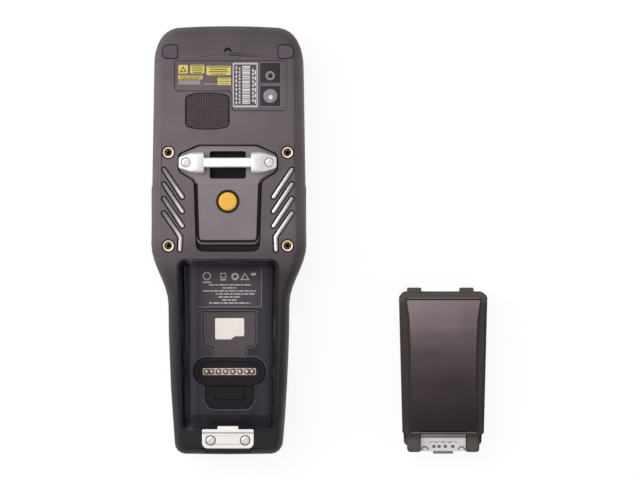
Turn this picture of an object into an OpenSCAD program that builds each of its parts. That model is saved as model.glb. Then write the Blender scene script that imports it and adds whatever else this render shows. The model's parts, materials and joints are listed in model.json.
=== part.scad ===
// Portable barcode data terminal, lying face down with its back up, and its
// battery pack lying beside it. X runs across, Y along (head up), Z up.
// The origin is on the front rest face, on the line of the widest shoulders.

/* [Body] */
// Length from the widest line of the shoulders to the top end
head_l = 108.8; // [105:0.2:116]
// Length from the widest line of the shoulders to the tail end
handle_l = 109; // [107:0.5:116]
// Greatest width, across the shoulders
head_w = 79; // [77:0.5:84]
// Width of the head where its top corners begin
head_top_w = 76.2; // [74:0.2:79]
// Width of the handle just under the shoulders
waist_w = 61.6; // [60:0.2:66]
// Width of the handle at its tail
tail_w = 55.2; // [54:0.2:60]
// Height of the back face over the front rest face
body_h = 33; // [33:0.2:37]
// Height of the parting line between the two housings
parting_z = 12; // [11.6:0.1:13]
// Side wall of both housings
wall = 2.2; // [1.8:0.1:2.5]
// Wall under the back face
back_wall = 2.4; // [2:0.1:3]
// Height of the inner floor of the front housing
inner_floor_z = 4.1; // [4:0.1:4.4]
// Width of the bevel round the back face
back_bevel_w = 5.2; // [4:0.2:6]
// Height of the bevel round the back face
back_bevel_h = 9; // [7:0.5:10]
// How far the keypad face is lifted off the rest face
keypad_rise = 2.5; // [2:0.1:2.6]

/* [Display] */
// Width of the display lens
lens_w = 63; // [58:1:64]
// Length of the display lens
lens_l = 86; // [80:1:88]
// Thickness of the display lens
lens_t = 1.6; // [1.2:0.1:1.8]
// How far the lens lies under the rest face
lens_sink = 0.6; // [0.3:0.1:0.8]
// Distance from the top end to the lens
lens_from_top = 9; // [8:0.5:12]
// Width of the picture area
view_w = 54; // [48:1:56]
// Length of the picture area
view_l = 72; // [66:1:74]
// Thickness of the display panel
lcd_t = 3; // [2:0.2:3.4]

/* [Keypad] */
// Distance between digit key columns
key_pitch_x = 14; // [13.5:0.5:14.5]
// Distance between digit key rows
key_pitch_y = 10.6; // [10.2:0.1:11]
// Width of a digit key
key_w = 11.2; // [10:0.2:11.6]
// Length of a digit key
key_l = 7.4; // [6.6:0.2:7.8]
// How far a key stands out of the keypad face
key_proud = 1.6; // [1:0.1:1.8]
// Travel of a key
key_travel = 0.8; // [0.5:0.1:0.9]
// Width of the scan key
scan_key_w = 19; // [16:0.5:20]
// Outer radius of the navigation ring
nav_r = 9.6; // [8.5:0.1:10]
// Thickness of the keypad mat
mat_t = 0.9; // [0.6:0.1:1]
// Thickness of the circuit boards
board_t = 1; // [0.8:0.1:1.2]

/* [Inserts] */
// Distance between the threaded inserts across the body
insert_pitch_x = 60; // [58:0.5:61]
// Distance between the threaded inserts along the body
insert_pitch_y = 47; // [46:0.5:48]
// Radius of the inserts' core hole, for an M3 screw
insert_bore_r = 1.25; // [1:0.05:1.5]
// Outer radius of an insert
insert_r = 2.9; // [2.6:0.1:3]
// Length of an insert
insert_l = 6.5; // [5:0.5:7]

/* [Strap plate] */
// Top edge of the channel that holds the strap plate
channel_top_y = 48; // [47:0.5:50]
// Length of the channel
channel_l = 53.9; // [52.5:0.2:54.5]
// Width of the channel's head
channel_head_w = 50.4; // [49:0.2:51]
// Width of the channel's stem
channel_stem_w = 34.2; // [33:0.2:35]
// Depth of the channel
channel_depth = 3; // [2.5:0.1:3.4]
// How far the plate's face stands over the back face
plate_proud = 0.6; // [0.2:0.1:1]
// Width of the strap gap under the bar
strap_gap_w = 18.2; // [17:0.2:19]
// Width of the strap bar
bar_w = 5.1; // [4.5:0.1:5.5]
// Thickness of the strap bar
bar_t = 3.4; // [3:0.1:3.8]

/* [Trigger] */
// Radius of the rear trigger button
trigger_r = 4.65; // [4:0.05:5]
// Travel of the rear trigger button
trigger_travel = 1.2; // [0.6:0.1:1.3]
// Length of a side trigger
side_trigger_l = 20; // [16:0.5:22]
// Height of a side trigger
side_trigger_h = 6.4; // [5.6:0.2:6.8]

/* [Gills] */
// Distance between two gill inlays along the body
gill_pitch = 7.3; // [6.5:0.1:7.6]
// Width of a gill inlay
gill_w = 2.3; // [1.8:0.1:2.5]
// Depth of the gill inlays
gill_depth = 0.9; // [0.6:0.1:1.2]

/* [Head details] */
// Width of the speaker mesh
speaker_w = 22.2; // [20:0.2:23]
// Length of the speaker mesh, as a share of the head's free length
speaker_share = 0.306; // [0.28:0.002:0.31]
// Distance between two holes of the speaker mesh
mesh_pitch = 1.9; // [1.7:0.1:2.2]
// Side of the square camera and flash windows, as a share of the same length
window_share = 0.1695; // [0.158:0.0005:0.174]
// Depth of the label recess
label_depth = 0.5; // [0.3:0.1:0.7]
// Width of the scan window
scan_window_w = 28; // [24:1:30]
// Height of the scan window
scan_window_h = 9; // [8:0.5:10]

/* [Battery bay] */
// Distance from the widest line of the shoulders to the bay
bay_from_widest = 9.7; // [9.2:0.1:10.2]
// Distance from the tail end to the bay
bay_from_tail = 13.1; // [12.8:0.1:14]
// Width over the bay's rim at its top
bay_rim_w = 51.2; // [50.6:0.2:52]
// How much narrower the bay gets towards the tail
bay_taper = 3.6; // [2:0.2:4]
// Height of the bay's floor
bay_floor_z = 11.5; // [11.3:0.1:12]
// Thickness of the bay's floor
bay_floor_t = 2.7; // [2.5:0.1:2.8]

/* [Card door] */
// Width of the memory card door
door_w = 27.2; // [24:0.2:28]
// Length of the wide part of the door, as a share of the bay's length
door_share = 0.21; // [0.2:0.002:0.22]
// Width of the door's finger tab
door_tab_w = 17.2; // [14:0.2:18]
// Length of the door's finger tab, as a share of the bay's length
door_tab_share = 0.0615; // [0.05:0.0005:0.064]
// Length of the memory card
card_w = 15; // [14.8:0.1:15.2]
// Width of the memory card
card_l = 11; // [10.8:0.1:11.2]

/* [Contacts] */
// Radius of a contact pin
pin_r = 1.05; // [0.8:0.05:1.1]
// Travel of the contact pins
pin_travel = 1; // [0.5:0.1:1.2]

/* [Battery pack] */
// How far the pack lies to the side of its place in the bay
pack_shift_x = 109.2; // [100:0.2:120]
// How far the pack lies towards the tail from its place in the bay
pack_shift_y = 14.5; // [10:0.5:18]
// Gap between the pack and the walls of its bay
pack_gap = 0.9; // [0.6:0.1:1.2]
// Wall of the pack
pack_wall = 1.3; // [1:0.1:1.5]
// Travel of the pack's latch
latch_travel = 1.2; // [0.6:0.1:1.3]

/* [Fits] */
// Radial clearance of round running fits
running_gap = 0.06; // [0.03:0.01:0.1]
// Gap round seated pieces
seat_gap = 0.1; // [0.05:0.05:0.15]
// Gap round keys and buttons that are not round
key_gap = 0.25; // [0.15:0.05:0.3]

/* [Hidden] */
$fn = 48;
eps = 0.01;
over = 1;
// How far a boss or backing grows into the wall that carries it
root = 0.6;

// ---- Small geometry helpers ----
function lerp(a, b, t) = a + (b - a) * t;
function clamp01(t) = min(1, max(0, t));
function smooth(t) = (1 - cos(180 * clamp01(t))) / 2;
function unit(v) = v / norm(v);

// One corner of an outline as an arc of radius r with n steps.
function corner_arc(a, b, c, r, n) =
    r <= 0 ? [b] :
    let (
        u = unit(a - b),
        v = unit(c - b),
        half = acos(u * v) / 2,
        centre = b + unit(u + v) * r / sin(half),
        from = unit(b + u * r / tan(half) - centre),
        to = unit(b + v * r / tan(half) - centre)
    )
    [for (k = [0:n]) centre + r * unit(lerp(from, to, k / n))];

// An outline with its corners rounded, r being one radius or one per corner.
function rounded(points, r, n = 4) =
    let (m = len(points))
    [for (i = [0:m - 1])
        each corner_arc(points[(i + m - 1) % m], points[i], points[(i + 1) % m],
                        is_list(r) ? r[i] : r, n)];

function rect(w, l, at = [0, 0]) =
    [for (s = [[1, 1], [-1, 1], [-1, -1], [1, -1]]) at + [s.x * w / 2, s.y * l / 2]];

// A rectangle whose top edge is wider or narrower than its bottom edge.
function trapezoid(top_w, bottom_w, top_y, bottom_y) =
    [[top_w / 2, top_y], [-top_w / 2, top_y],
     [-bottom_w / 2, bottom_y], [bottom_w / 2, bottom_y]];

// A straight slot with round ends from a to b.
function slot_points(a, b, r, n = 8) =
    let (turn = atan2(b.y - a.y, b.x - a.x))
    concat([for (k = [0:n]) b + r * [cos(turn - 90 + 180 * k / n), sin(turn - 90 + 180 * k / n)]],
           [for (k = [0:n]) a + r * [cos(turn + 90 + 180 * k / n), sin(turn + 90 + 180 * k / n)]]);

module prism(points, low, high) {
    translate([0, 0, low]) linear_extrude(high - low) polygon(points);
}

module grown_prism(points, grow, low, high) {
    translate([0, 0, low]) linear_extrude(high - low) offset(delta = grow) polygon(points);
}

module mirror_pair() {
    children();
    mirror([1, 0, 0]) children();
}

// ---- Plan outline of the body, from the top centre round the right side ----
crown_drop = 0.6;
crown_half_w = 22;
corner_l = 22.8;
corner_power = 0.8;
shoulder_top_y = -2;
shoulder_l = 31;
handle_power = 1.8;
tail_r = 6;
tail_crown = 0.3;
corner_y = head_l - corner_l;
waist_y = shoulder_top_y - shoulder_l;
tail_corner_y = -handle_l + tail_crown + tail_r;

function shoulder_half_w(t) = lerp(head_w, waist_w, smooth(t)) / 2;
function handle_half_w(u) = lerp(waist_w, tail_w, pow(u, handle_power)) / 2;
function half_width(y) =
    y > shoulder_top_y ? lerp(head_w, head_top_w, (y - shoulder_top_y) / (corner_y - shoulder_top_y)) / 2 :
    y > waist_y ? shoulder_half_w((shoulder_top_y - y) / shoulder_l) :
    handle_half_w((waist_y - y) / (waist_y - tail_corner_y));

crown_points = [for (i = [0:2])
    [crown_half_w * i / 3, head_l - crown_drop * pow(i / 3, 2)]];
top_corner_points = [for (t = [90:-10:0])
    [crown_half_w + (head_top_w / 2 - crown_half_w) * pow(cos(t), corner_power),
     corner_y + (corner_l - crown_drop) * pow(sin(t), corner_power)]];
head_side_points = [for (i = [1:3])
    let (y = lerp(corner_y, shoulder_top_y, i / 3)) [half_width(y), y]];
shoulder_points = [for (i = [1:7])
    [shoulder_half_w(i / 7), shoulder_top_y - shoulder_l * i / 7]];
handle_points = [for (u = [0.2, 0.4, 0.6, 0.8, 0.9, 1])
    [handle_half_w(u), lerp(waist_y, tail_corner_y, u)]];
tail_points = [for (t = [22.5:22.5:90])
    [tail_w / 2 - tail_r + tail_r * cos(t), tail_corner_y - tail_r * sin(t)]];
side_points = concat(crown_points, top_corner_points, head_side_points, shoulder_points,
                     handle_points, tail_points, [[0, -handle_l]]);
last = len(side_points) - 1;

function side_at(i) =
    i < 0 ? [-side_points[-i].x, side_points[-i].y] :
    i > last ? [-side_points[2 * last - i].x, side_points[2 * last - i].y] :
    side_points[i];
side_normals = [for (i = [0:last])
    let (along = unit(side_at(i + 1) - side_at(i - 1))) [-along.y, along.x]];

// The bevel is narrower along the handle than round the head.
handle_bevel_share = 0.7;
side_share = [for (p = side_points)
    lerp(1, handle_bevel_share, smooth((shoulder_top_y - p.y) / shoulder_l))];

// The keypad face is lifted between the cross-bar and the chin.
rise_end_y = shoulder_top_y - shoulder_l * 2 / 7;
chin_l = (waist_y - tail_corner_y) / 10;
function rise_at(y) = keypad_rise * min(smooth((shoulder_top_y - y) / (shoulder_top_y - rise_end_y)),
                                        smooth((y - tail_corner_y) / chin_l));

// A ring of the body: every outline point moved inwards by inset, plus its share of
// bevel, at height z, plus rise times the lift of the keypad face there.
function ring(z, inset, bevel = 0, rise = 0) =
    let (right = [for (i = [0:last])
        let (p = side_points[i] - side_normals[i] * (inset + bevel * side_share[i]))
        [p.x, p.y, z + rise * rise_at(side_points[i].y)]])
    concat([for (i = [0:last]) [-right[i].x, right[i].y, right[i].z]],
           [for (i = [last - 1:-1:1]) right[i]]);

// A closed solid through rings of equal length, lowest ring first.
module loft(rings) {
    m = 2 * last;
    top = len(rings) - 1;
    sides = [for (k = [0:top - 1]) for (i = [0:m - 1])
        let (a = k * m + i, b = k * m + (i + 1) % m)
        each [[a, a + m, b + m], [a, b + m, b]]];
    strips = [for (i = [0:last - 1])
        i == 0 ? [0, 1, m - 1] :
        i == last - 1 ? [last - 1, last, last + 1] :
        [i, i + 1, m - i - 1, m - i]];
    lid = [for (s = strips) [for (k = [len(s) - 1:-1:0]) top * m + s[k]]];
    polyhedron(points = [for (r = rings) each r], faces = concat(sides, strips, lid));
}

// ---- Heights ----
bevel_angle = 62;
bevel_steps = 5;
side_draft = 0.3;
front_bevel_w = 3.6;
front_bevel_h = 6;
gasket_h = 0.8;
gasket_out = 0.7;
gasket_in = 1.5;
ceiling_z = body_h - back_wall;

// Each shell is one closed skin: the rear one from its ceiling down the inner
// walls, out along the parting line and up over the back, the front one from the
// face up the outer walls, over the rim with the gasket's groove and down inside.
rear_rings = concat(
    [ring(ceiling_z, wall, 3.8),
     ring(ceiling_z - 2.2, wall, 1.6),
     ring(body_h - back_bevel_h, wall + side_draft),
     ring(parting_z, wall),
     ring(parting_z, 0)],
    [for (k = [0:bevel_steps])
        let (a = bevel_angle * k / bevel_steps)
        ring(body_h - back_bevel_h + back_bevel_h * sin(a) / sin(bevel_angle), side_draft,
             (back_bevel_w - side_draft) * (1 - cos(a)) / (1 - cos(bevel_angle)))]);
front_rings = concat(
    [for (a = [0:22.5:90])
        ring(front_bevel_h * (1 - cos(a)), side_draft + front_bevel_w * (1 - sin(a)), 0, 1)],
    [ring(parting_z, 0),
     ring(parting_z, gasket_out),
     ring(parting_z - gasket_h, gasket_out),
     ring(parting_z - gasket_h, gasket_in),
     ring(parting_z, gasket_in),
     ring(parting_z, wall),
     ring(inner_floor_z + 3, wall + side_draft),
     ring(inner_floor_z, wall + side_draft, 1)]);

// A closed band that runs round the body between two insets.
module gasket_band() {
    m = 2 * last;
    rings = [ring(parting_z - gasket_h, gasket_out), ring(parting_z, gasket_out),
             ring(parting_z, gasket_in), ring(parting_z - gasket_h, gasket_in)];
    polyhedron(points = [for (r = rings) each r],
               faces = [for (k = [0:3]) for (i = [0:m - 1])
                   let (a = k * m, b = (k + 1) % 4 * m, j = (i + 1) % m)
                   each [[a + i, b + i, b + j], [a + i, b + j, a + j]]]);
}

// ---- Places on the back ----
insert_top_y = channel_top_y - 3.9;
insert_places = [for (sx = [-1, 1]) for (k = [0, 1])
    [sx * insert_pitch_x / 2, insert_top_y - k * insert_pitch_y]];
insert_recess_r = insert_r + 0.4;
boss_r = insert_r + 2;
boss_floor = 1.6;

// Places on the head are shares of its free length, between channel and top end.
head_free_l = head_l - channel_top_y;
function head_at(share) = channel_top_y + share * head_free_l;
speaker_l = speaker_share * head_free_l;
window_side = window_share * head_free_l;
camera_x = 21.35;
camera_y = head_at(0.404);
flash_y = head_at(0.5955);
camera_r = 3.65;
flash_r = 2.2;
window_t = 1.2;
label_top_y = head_at(0.6975);
label_step_y = head_at(0.441);
label_low_y = head_at(0.278);
label_left_x = -27;
label_right_x = 29.9;
label_neck_x = 2;
label_outline = [
    [label_right_x, label_top_y], [label_left_x, label_top_y], [label_left_x, label_step_y],
    [label_neck_x - 1.5, label_step_y], [label_neck_x, label_step_y - 1.5],
    [label_neck_x, label_low_y], [label_right_x, label_low_y]];
label_radii = [1.6, 1.6, 2.2, 0.8, 0.8, 1.6, 2.2];

speaker_at = [-10.3, head_at(0.278)];
speaker_mesh_t = 0.8;
speaker_ledge = 2;
// The mesh patch has gently arched edges above and below.
speaker_arch = 1.4;
function speaker_outline(shrink) =
    let (hw = speaker_w / 2 - shrink, hl = speaker_l / 2 - shrink)
    rounded([for (s = [1, -1]) for (k = [0:4])
        let (x = s * lerp(hw, -hw, k / 4))
        speaker_at + [x, s * (hl - speaker_arch * pow(x / hw, 2))]],
        [for (s = [0, 1]) for (k = [0:4]) k % 4 == 0 ? 2.6 - shrink / 2 : 0]);

pad_x = 29.1;
pad_y = head_at(0.77);
pad_w = 8.2;
pad_l = 7;
pad_t = 1.2;
pad_proud = 0.15;
function pad_outline(shrink) =
    rounded(rect(pad_w - 2 * shrink, pad_l - 2 * shrink, [pad_x, pad_y]),
            [3.2, 1.2, 1.2, 2.6]);
mic_y = head_at(0.773);
mic_r = 1.85;

// ---- Strap plate ----
channel_floor_z = body_h - channel_depth;
plate_top_z = body_h + plate_proud;
stem_top_y = channel_top_y - 18.5;
channel_bottom_y = channel_top_y - channel_l;
neck_y = channel_top_y - 13.5;
channel_outline = [
    [channel_head_w / 2 - 10.4, channel_top_y], [-channel_head_w / 2 + 10.4, channel_top_y],
    [-channel_head_w / 2, channel_top_y - 4.6], [-channel_head_w / 2, neck_y],
    [-channel_stem_w / 2, stem_top_y], [-channel_stem_w / 2 + 1, channel_bottom_y],
    [channel_stem_w / 2 - 1, channel_bottom_y], [channel_stem_w / 2, stem_top_y],
    [channel_head_w / 2, neck_y], [channel_head_w / 2, channel_top_y - 4.6]];
channel_radii = [3, 3, 3, 3.4, 3, 3.7, 3.7, 3, 3.4, 3];
channel_backing = 2.2;
plate_end_gap = 3.7;
plate_bevel = 1.3;
strap_gap_l = 13.8;
strap_y = channel_top_y - 10.2;
strap_gap_depth = 2.5;
bar_y = channel_top_y - 9.1;
bar_z = plate_top_z + 2.8;
lug_in_x = 11.9;
lug_out_x = 24.6;
lug_t = 4.4;
lug_screw_x = 20.9;
lug_seat_z = plate_top_z + 1.7;
screw_head_r = 2.2;
screw_r = 1;
screw_head_t = 1;
lug_screw_l = 7.4;
strike_screw_l = 3.8;
socket_r = 0.9;

// ---- Rear trigger ----
trigger_y = channel_top_y - 28.6;
bezel_r = trigger_r + 1.15;
trigger_flange_r = trigger_r + 0.75;
trigger_flange_t = 1.1;
trigger_top_z = plate_top_z + 0.9;
bezel_top_z = plate_top_z + 0.5;
trigger_hole_r = trigger_flange_r + 0.2;

// ---- Gills: four slanted inlays on each side ----
gill_top = [32.2, channel_top_y - 12.6];
gill_run = [-9.2, -13.7];
gill_count = 4;
gill_tail_l = 6.6;

module gills(grow, low, high) {
    r = gill_w / 2 + grow;
    mirror_pair() {
        for (k = [0:gill_count - 2]) {
            a = gill_top - [0, gill_pitch * k];
            prism(slot_points(a, a + gill_run, r), low, high);
        }
        a = gill_top - [0, gill_pitch * (gill_count - 1)];
        b = a + [gill_run.x * 0.9, gill_run.y * 0.87];
        prism(slot_points(a, b, r), low, high);
        prism(slot_points(b, b - [-0.3, gill_tail_l], r), low, high);
    }
}

// ---- Battery bay ----
bay_top_y = -bay_from_widest;
bay_bottom_y = -handle_l + bay_from_tail;
bay_rim_t = 1.4;
bay_rim_lip = 0.9;
bay_lead_in = 1.3;
bay_shell = 1.5;
bay_draft = 1.6;
bay_ramp_l = 2.5;
bay_r = 3.7;
function bay_plan(shrink, low_ramp = 0) =
    rounded(trapezoid(bay_rim_w - 2 * shrink, bay_rim_w - bay_taper - 2 * shrink,
                      bay_top_y - shrink, bay_bottom_y + shrink + low_ramp),
            max(0.8, bay_r - shrink));
bay_inner = bay_rim_lip + bay_lead_in;
bay_under_z = bay_floor_z - bay_floor_t;

// ---- Card door ----
// Places on the bay's floor are shares of its length, from its top.
bay_l = bay_top_y - bay_bottom_y;
function bay_at(share) = bay_top_y - share * bay_l;
door_l = door_share * bay_l;
door_tab_l = door_tab_share * bay_l;
door_top_y = bay_at(0.311);
door_t = 1.2;
door_low_z = bay_floor_z - 1.3;
door_pocket_z = door_low_z - 0.3;
hinge_r = 0.8;
hinge_pin_r = 0.5;
hinge_pin_l = 1;
hinge_y = door_top_y - hinge_r - 0.1;
hinge_z = door_low_z + door_t / 2;
card_t = 0.7;
card_at = [0.1, bay_at(0.4153)];
card_seat = 0.5;
socket_w = card_w - 3;
socket_l = card_l - 1;
function door_outline(grow) =
    let (hw = door_w / 2 + grow, tw = door_tab_w / 2 + grow, top = hinge_y,
         mid = door_top_y - door_l - grow, low = door_top_y - door_l - door_tab_l - grow)
    rounded([[hw, top], [-hw, top], [-hw, mid], [-tw, mid], [-tw, low],
             [tw, low], [tw, mid], [hw, mid]], [0, 0, 3, 0.8, 1.6, 1.6, 0.8, 3]);
card_outline = rounded([
    card_at + [card_w / 2, card_l / 2], card_at + [-card_w / 2, card_l / 2],
    card_at + [-card_w / 2, -card_l / 2], card_at + [0.6, -card_l / 2],
    card_at + [2.8, -card_l / 2 + 1.6], card_at + [card_w / 2, -card_l / 2 + 1.6]],
    [0.8, 0.8, 0.8, 0.3, 0.3, 0.8]);

// ---- Contacts ----
contact_y = bay_at(0.6694);
strip_w = 27.4;
strip_l = 3.6;
pin_places = [for (s = [-0.427, -0.332, -0.2, -0.067, 0.067, 0.2, 0.332, 0.427]) s * strip_w];
strip_top_z = bay_floor_z + 1.1;
seal_top_z = bay_floor_z + 1.5;
seal_w = 36.8;
seal_l = 0.166 * bay_l;
seal_step_w = 31.4;
seal_step_l = seal_l - 4.2;
lobe_w = 25;
lobe_l = 0.139 * bay_l;
seal_pad_w = 14.8;
seal_pad_l = 0.08 * bay_l;
lobe_top_z = bay_floor_z + 0.5;
pin_low_z = bay_under_z + 1.3;
pin_high_z = strip_top_z + 1.2;

// ---- Strike plate ----
strike_w = 26;
strike_l = 9.7;
strike_t = 1.5;
strike_top_y = -handle_l + 13.7;
strike_y = strike_top_y - strike_l / 2;
strike_tongue_w = 10.4;
strike_tongue_l = 1.5;
strike_screw_x = 8.7;
strike_screw_y = -handle_l + 8.1;
strike_under_z = body_h - strike_t;
strike_seat_z = body_h - screw_head_t + 0.2;
strike_low_z = strike_seat_z - strike_screw_l - 1;

// ---- Dock connector and scan window ----
dock_w = 22;
dock_h = 6;
dock_z = parting_z + 5;
dock_front_y = -handle_l + wall;
scan_z = parting_z + 8.5;
scan_window_t = 1.6;
scan_seat_y = head_l - 2.6;
scan_frame = 2;

// ---- Side triggers ----
side_trigger_y = channel_top_y - 30;
side_trigger_z = parting_z + 6;
side_trigger_proud = 0.3;
side_travel = 0.8;
side_flange = 0.9;

// ==== Housings ====
module screw_hole(at, top_z, low_z) {
    translate([at.x, at.y, low_z]) cylinder(r = screw_r, h = top_z - low_z + over);
}

module side_slot(grow, in_x, out_x) {
    a = [-side_trigger_l / 2 + side_trigger_h / 2, 0];
    translate([in_x, side_trigger_y, side_trigger_z]) rotate([90, 0, 90])
        linear_extrude(out_x - in_x) polygon(slot_points(a, -a, side_trigger_h / 2 + grow));
}

module rear_housing() {
    color([0.27, 0.25, 0.26]) difference() {
        union() {
            loft(rear_rings);
            grown_prism(rounded(channel_outline, channel_radii), channel_backing,
                        channel_floor_z - strap_gap_depth - channel_backing, ceiling_z + root);
            for (p = insert_places)
                translate([p.x, p.y, body_h - insert_l - 1 - boss_floor])
                    cylinder(r = boss_r, h = insert_l + 1 + boss_floor - back_wall + root);
            translate([-scan_window_w / 2 - 2 * scan_frame, head_l - wall - 3, parting_z + 2])
                cube([scan_window_w + 4 * scan_frame, 3 + root, scan_window_h + 2 * scan_frame + 2]);
            // Backing under the strike plate, grown into the tail wall
            translate([-strike_w / 2 + 1, dock_front_y - root, strike_low_z])
                cube([strike_w - 2, strike_l, ceiling_z + root - strike_low_z]);
        }
        // Label recess with the camera and flash windows
        prism(rounded(label_outline, label_radii), body_h - label_depth, body_h + over);
        for (y = [camera_y, flash_y])
            prism(rounded(rect(window_side + 2 * seat_gap, window_side + 2 * seat_gap,
                               [camera_x, y]), 0.8), body_h - label_depth - window_t, body_h);
        translate([camera_x, camera_y, ceiling_z - over]) cylinder(r = camera_r + 0.5, h = 3);
        translate([camera_x, flash_y, ceiling_z - over]) cylinder(r = flash_r + 0.4, h = 3);
        // Speaker seat and sound opening
        prism(speaker_outline(-seat_gap), body_h - speaker_mesh_t - 0.3, body_h + over);
        prism(speaker_outline(speaker_ledge), ceiling_z - over, body_h);
        // Corner pads and microphone port
        mirror_pair() prism(pad_outline(-seat_gap), body_h + pad_proud - pad_t, body_h + over);
        translate([0, mic_y, body_h - 1.2]) cylinder(r = mic_r, h = 2);
        translate([0, mic_y, ceiling_z - over]) cylinder(r = 0.5, h = back_wall + over);
        // Threaded inserts
        for (p = insert_places) {
            translate([p.x, p.y, body_h - insert_l - 1]) cylinder(r = insert_r + seat_gap / 2, h = insert_l + 2);
            translate([p.x, p.y, body_h - 1]) cylinder(r = insert_recess_r, h = 2);
        }
        // Strap channel, strap gap, screw holes and trigger hole
        prism(rounded(channel_outline, channel_radii), channel_floor_z, body_h + over);
        prism(rounded(rect(strap_gap_w, strap_gap_l, [0, strap_y]), 1.2),
              channel_floor_z - strap_gap_depth, body_h);
        for (sx = [-1, 1])
            screw_hole([sx * lug_screw_x, bar_y], body_h, lug_seat_z - lug_screw_l - 0.2);
        translate([0, trigger_y, channel_floor_z - strap_gap_depth - channel_backing - over])
            cylinder(r = trigger_hole_r, h = strap_gap_depth + channel_backing + 2 * over);
        gills(0, body_h - gill_depth, body_h + over);
        // Bay opening, with the seat of the bay's rim
        prism(bay_plan(bay_rim_lip - seat_gap), parting_z - over, body_h + over);
        prism(bay_plan(-seat_gap), body_h - bay_rim_t, body_h + over);
        // Strike plate seat
        prism(rounded(rect(strike_w + 2 * seat_gap, strike_l + 2 * seat_gap, [0, strike_y]),
                      [0.6, 0.6, 2.8, 2.8]), strike_under_z, body_h + over);
        for (sx = [-1, 1])
            screw_hole([sx * strike_screw_x, strike_screw_y], body_h, strike_seat_z - strike_screw_l - 0.2);
        // Scan window and dock openings in the end walls
        translate([0, head_l - 8, scan_z]) rotate([-90, 0, 0])
            prism(rounded(rect(scan_window_w - 2 * scan_frame, scan_window_h - 2 * scan_frame), 1.2), 0, 12);
        translate([0, scan_seat_y, scan_z]) rotate([-90, 0, 0])
            prism(rounded(rect(scan_window_w + 2 * seat_gap, scan_window_h + 2 * seat_gap), 1.6), 0, 6);
        translate([0, -handle_l - over, dock_z]) rotate([-90, 0, 0])
            prism(rounded(rect(dock_w + 2 * seat_gap, dock_h + 2 * seat_gap), 1.4), 0, 2 * wall + over);
        // Side trigger slots
        mirror_pair() side_slot(key_gap, head_w / 2 - 8, head_w / 2 + 4);
    }
}

function lens_mid_y() = head_l - lens_from_top - lens_l / 2;
lens_z = lens_sink + lens_t;
view_y = lens_mid_y() + 3;
lcd_w = view_w + 5;
lcd_l = view_l + 7;
main_board_z = inner_floor_z + lcd_t + 1.6;
keypad_board_z = bay_under_z - 0.3 - board_t;
mat_z = keypad_board_z - mat_t;
board_half_w = 24;
board_top_y = rise_end_y + 3;
board_end_y = tail_corner_y + 6;
main_board_w = 66;
main_board_l = 86;
main_board_y = lens_mid_y();
post_r = 1;
keypad_posts = [for (y = [board_top_y - 8, (board_top_y + board_end_y) / 2, board_end_y + 4])
    [board_half_w - 1.1, y]];
main_posts = [for (sy = [-1, 1]) [main_board_w / 2 - 1.6, main_board_y + sy * (main_board_l / 2 - 3)]];

module front_housing() {
    color([0.22, 0.21, 0.22]) difference() {
        union() {
            loft(front_rings);
            mirror_pair() {
                for (p = keypad_posts)
                    translate([p.x, p.y, inner_floor_z - eps]) cylinder(r = post_r, h = keypad_board_z - inner_floor_z + eps);
                for (p = main_posts)
                    translate([p.x, p.y, inner_floor_z - eps]) cylinder(r = 1.5, h = main_board_z - inner_floor_z + eps);
            }
        }
        prism(rounded(rect(lens_w + 2 * seat_gap, lens_l + 2 * seat_gap, [0, lens_mid_y()]), 3), -over, lens_z);
        prism(rounded(rect(view_w, view_l, [0, view_y]), 1), -over, inner_floor_z + over);
        // Earpiece slot over the display
        prism(slot_points([-5, head_l - 5.2], [5, head_l - 5.2], 0.6), -over, inner_floor_z + over);
        for (k = all_keys)
            prism(key_outline(k, key_gap), -over, inner_floor_z + over);
    }
}

module housing_gasket() {
    color([0.08, 0.08, 0.08]) gasket_band();
}

// ==== Display ====
module display_lens() {
    color([0.03, 0.03, 0.04]) prism(rounded(rect(lens_w, lens_l, [0, lens_mid_y()]), 3), lens_sink, lens_z);
}

module lcd_panel() {
    color([0.16, 0.18, 0.2]) prism(rounded(rect(lcd_w, lcd_l, [0, view_y]), 1), inner_floor_z, inner_floor_z + lcd_t);
}

// ==== Keys: [name, x, y, width, length, corner radius], the user's left at +X ====
scan_key_y = rise_end_y - 6.4;
nav_y = scan_key_y - 15.6;
digit_top_y = nav_y - 16.4;
key_top_z = keypad_rise - key_proud;
key_flange_z = inner_floor_z + 0.1;
key_flange_t = 0.8;
key_flange_lip = 0.7;
key_foot_z = mat_z - key_travel - 0.15;
enter_r = 4.1;
side_key_x = 16.6;
scan_key_row = ["scan_key", 0, scan_key_y, scan_key_w, 8.4, 4.1];
left_soft_row = ["left_soft_key", side_key_x, scan_key_y, 8.6, 6.4, 2];
right_soft_row = ["right_soft_key", -side_key_x, scan_key_y, 8.6, 6.4, 2];
nav_row = ["navigation_ring", 0, nav_y, 2 * nav_r, 2 * nav_r, 0];
escape_row = ["escape_key", side_key_x, nav_y, 8.6, 7.4, 2];
function_row = ["function_key", -side_key_x, nav_y, 8.6, 7.4, 2];
power_row = ["power_key", 0, digit_top_y - 4 * key_pitch_y, 9, 6, 2.8];
digit_names = ["key_1", "key_2", "key_3", "key_4", "key_5", "key_6",
               "key_7", "key_8", "key_9", "key_star", "key_0", "key_hash"];
digit_rows = [for (i = [0:len(digit_names) - 1])
    [digit_names[i], (1 - i % 3) * key_pitch_x, digit_top_y - floor(i / 3) * key_pitch_y,
     key_w, key_l, 2.2]];
all_keys = concat([scan_key_row, left_soft_row, right_soft_row, nav_row, escape_row,
                   function_row, power_row], digit_rows);

function circle_points(r, at, n = 32) = [for (k = [0:n - 1]) at + r * [cos(360 * k / n), sin(360 * k / n)]];
function key_outline(k, grow) =
    k[5] == 0 ? circle_points(k[3] / 2 + grow, [k[1], k[2]]) :
    rounded(rect(k[3] + 2 * grow, k[4] + 2 * grow, [k[1], k[2]]), k[5] + grow);

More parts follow.
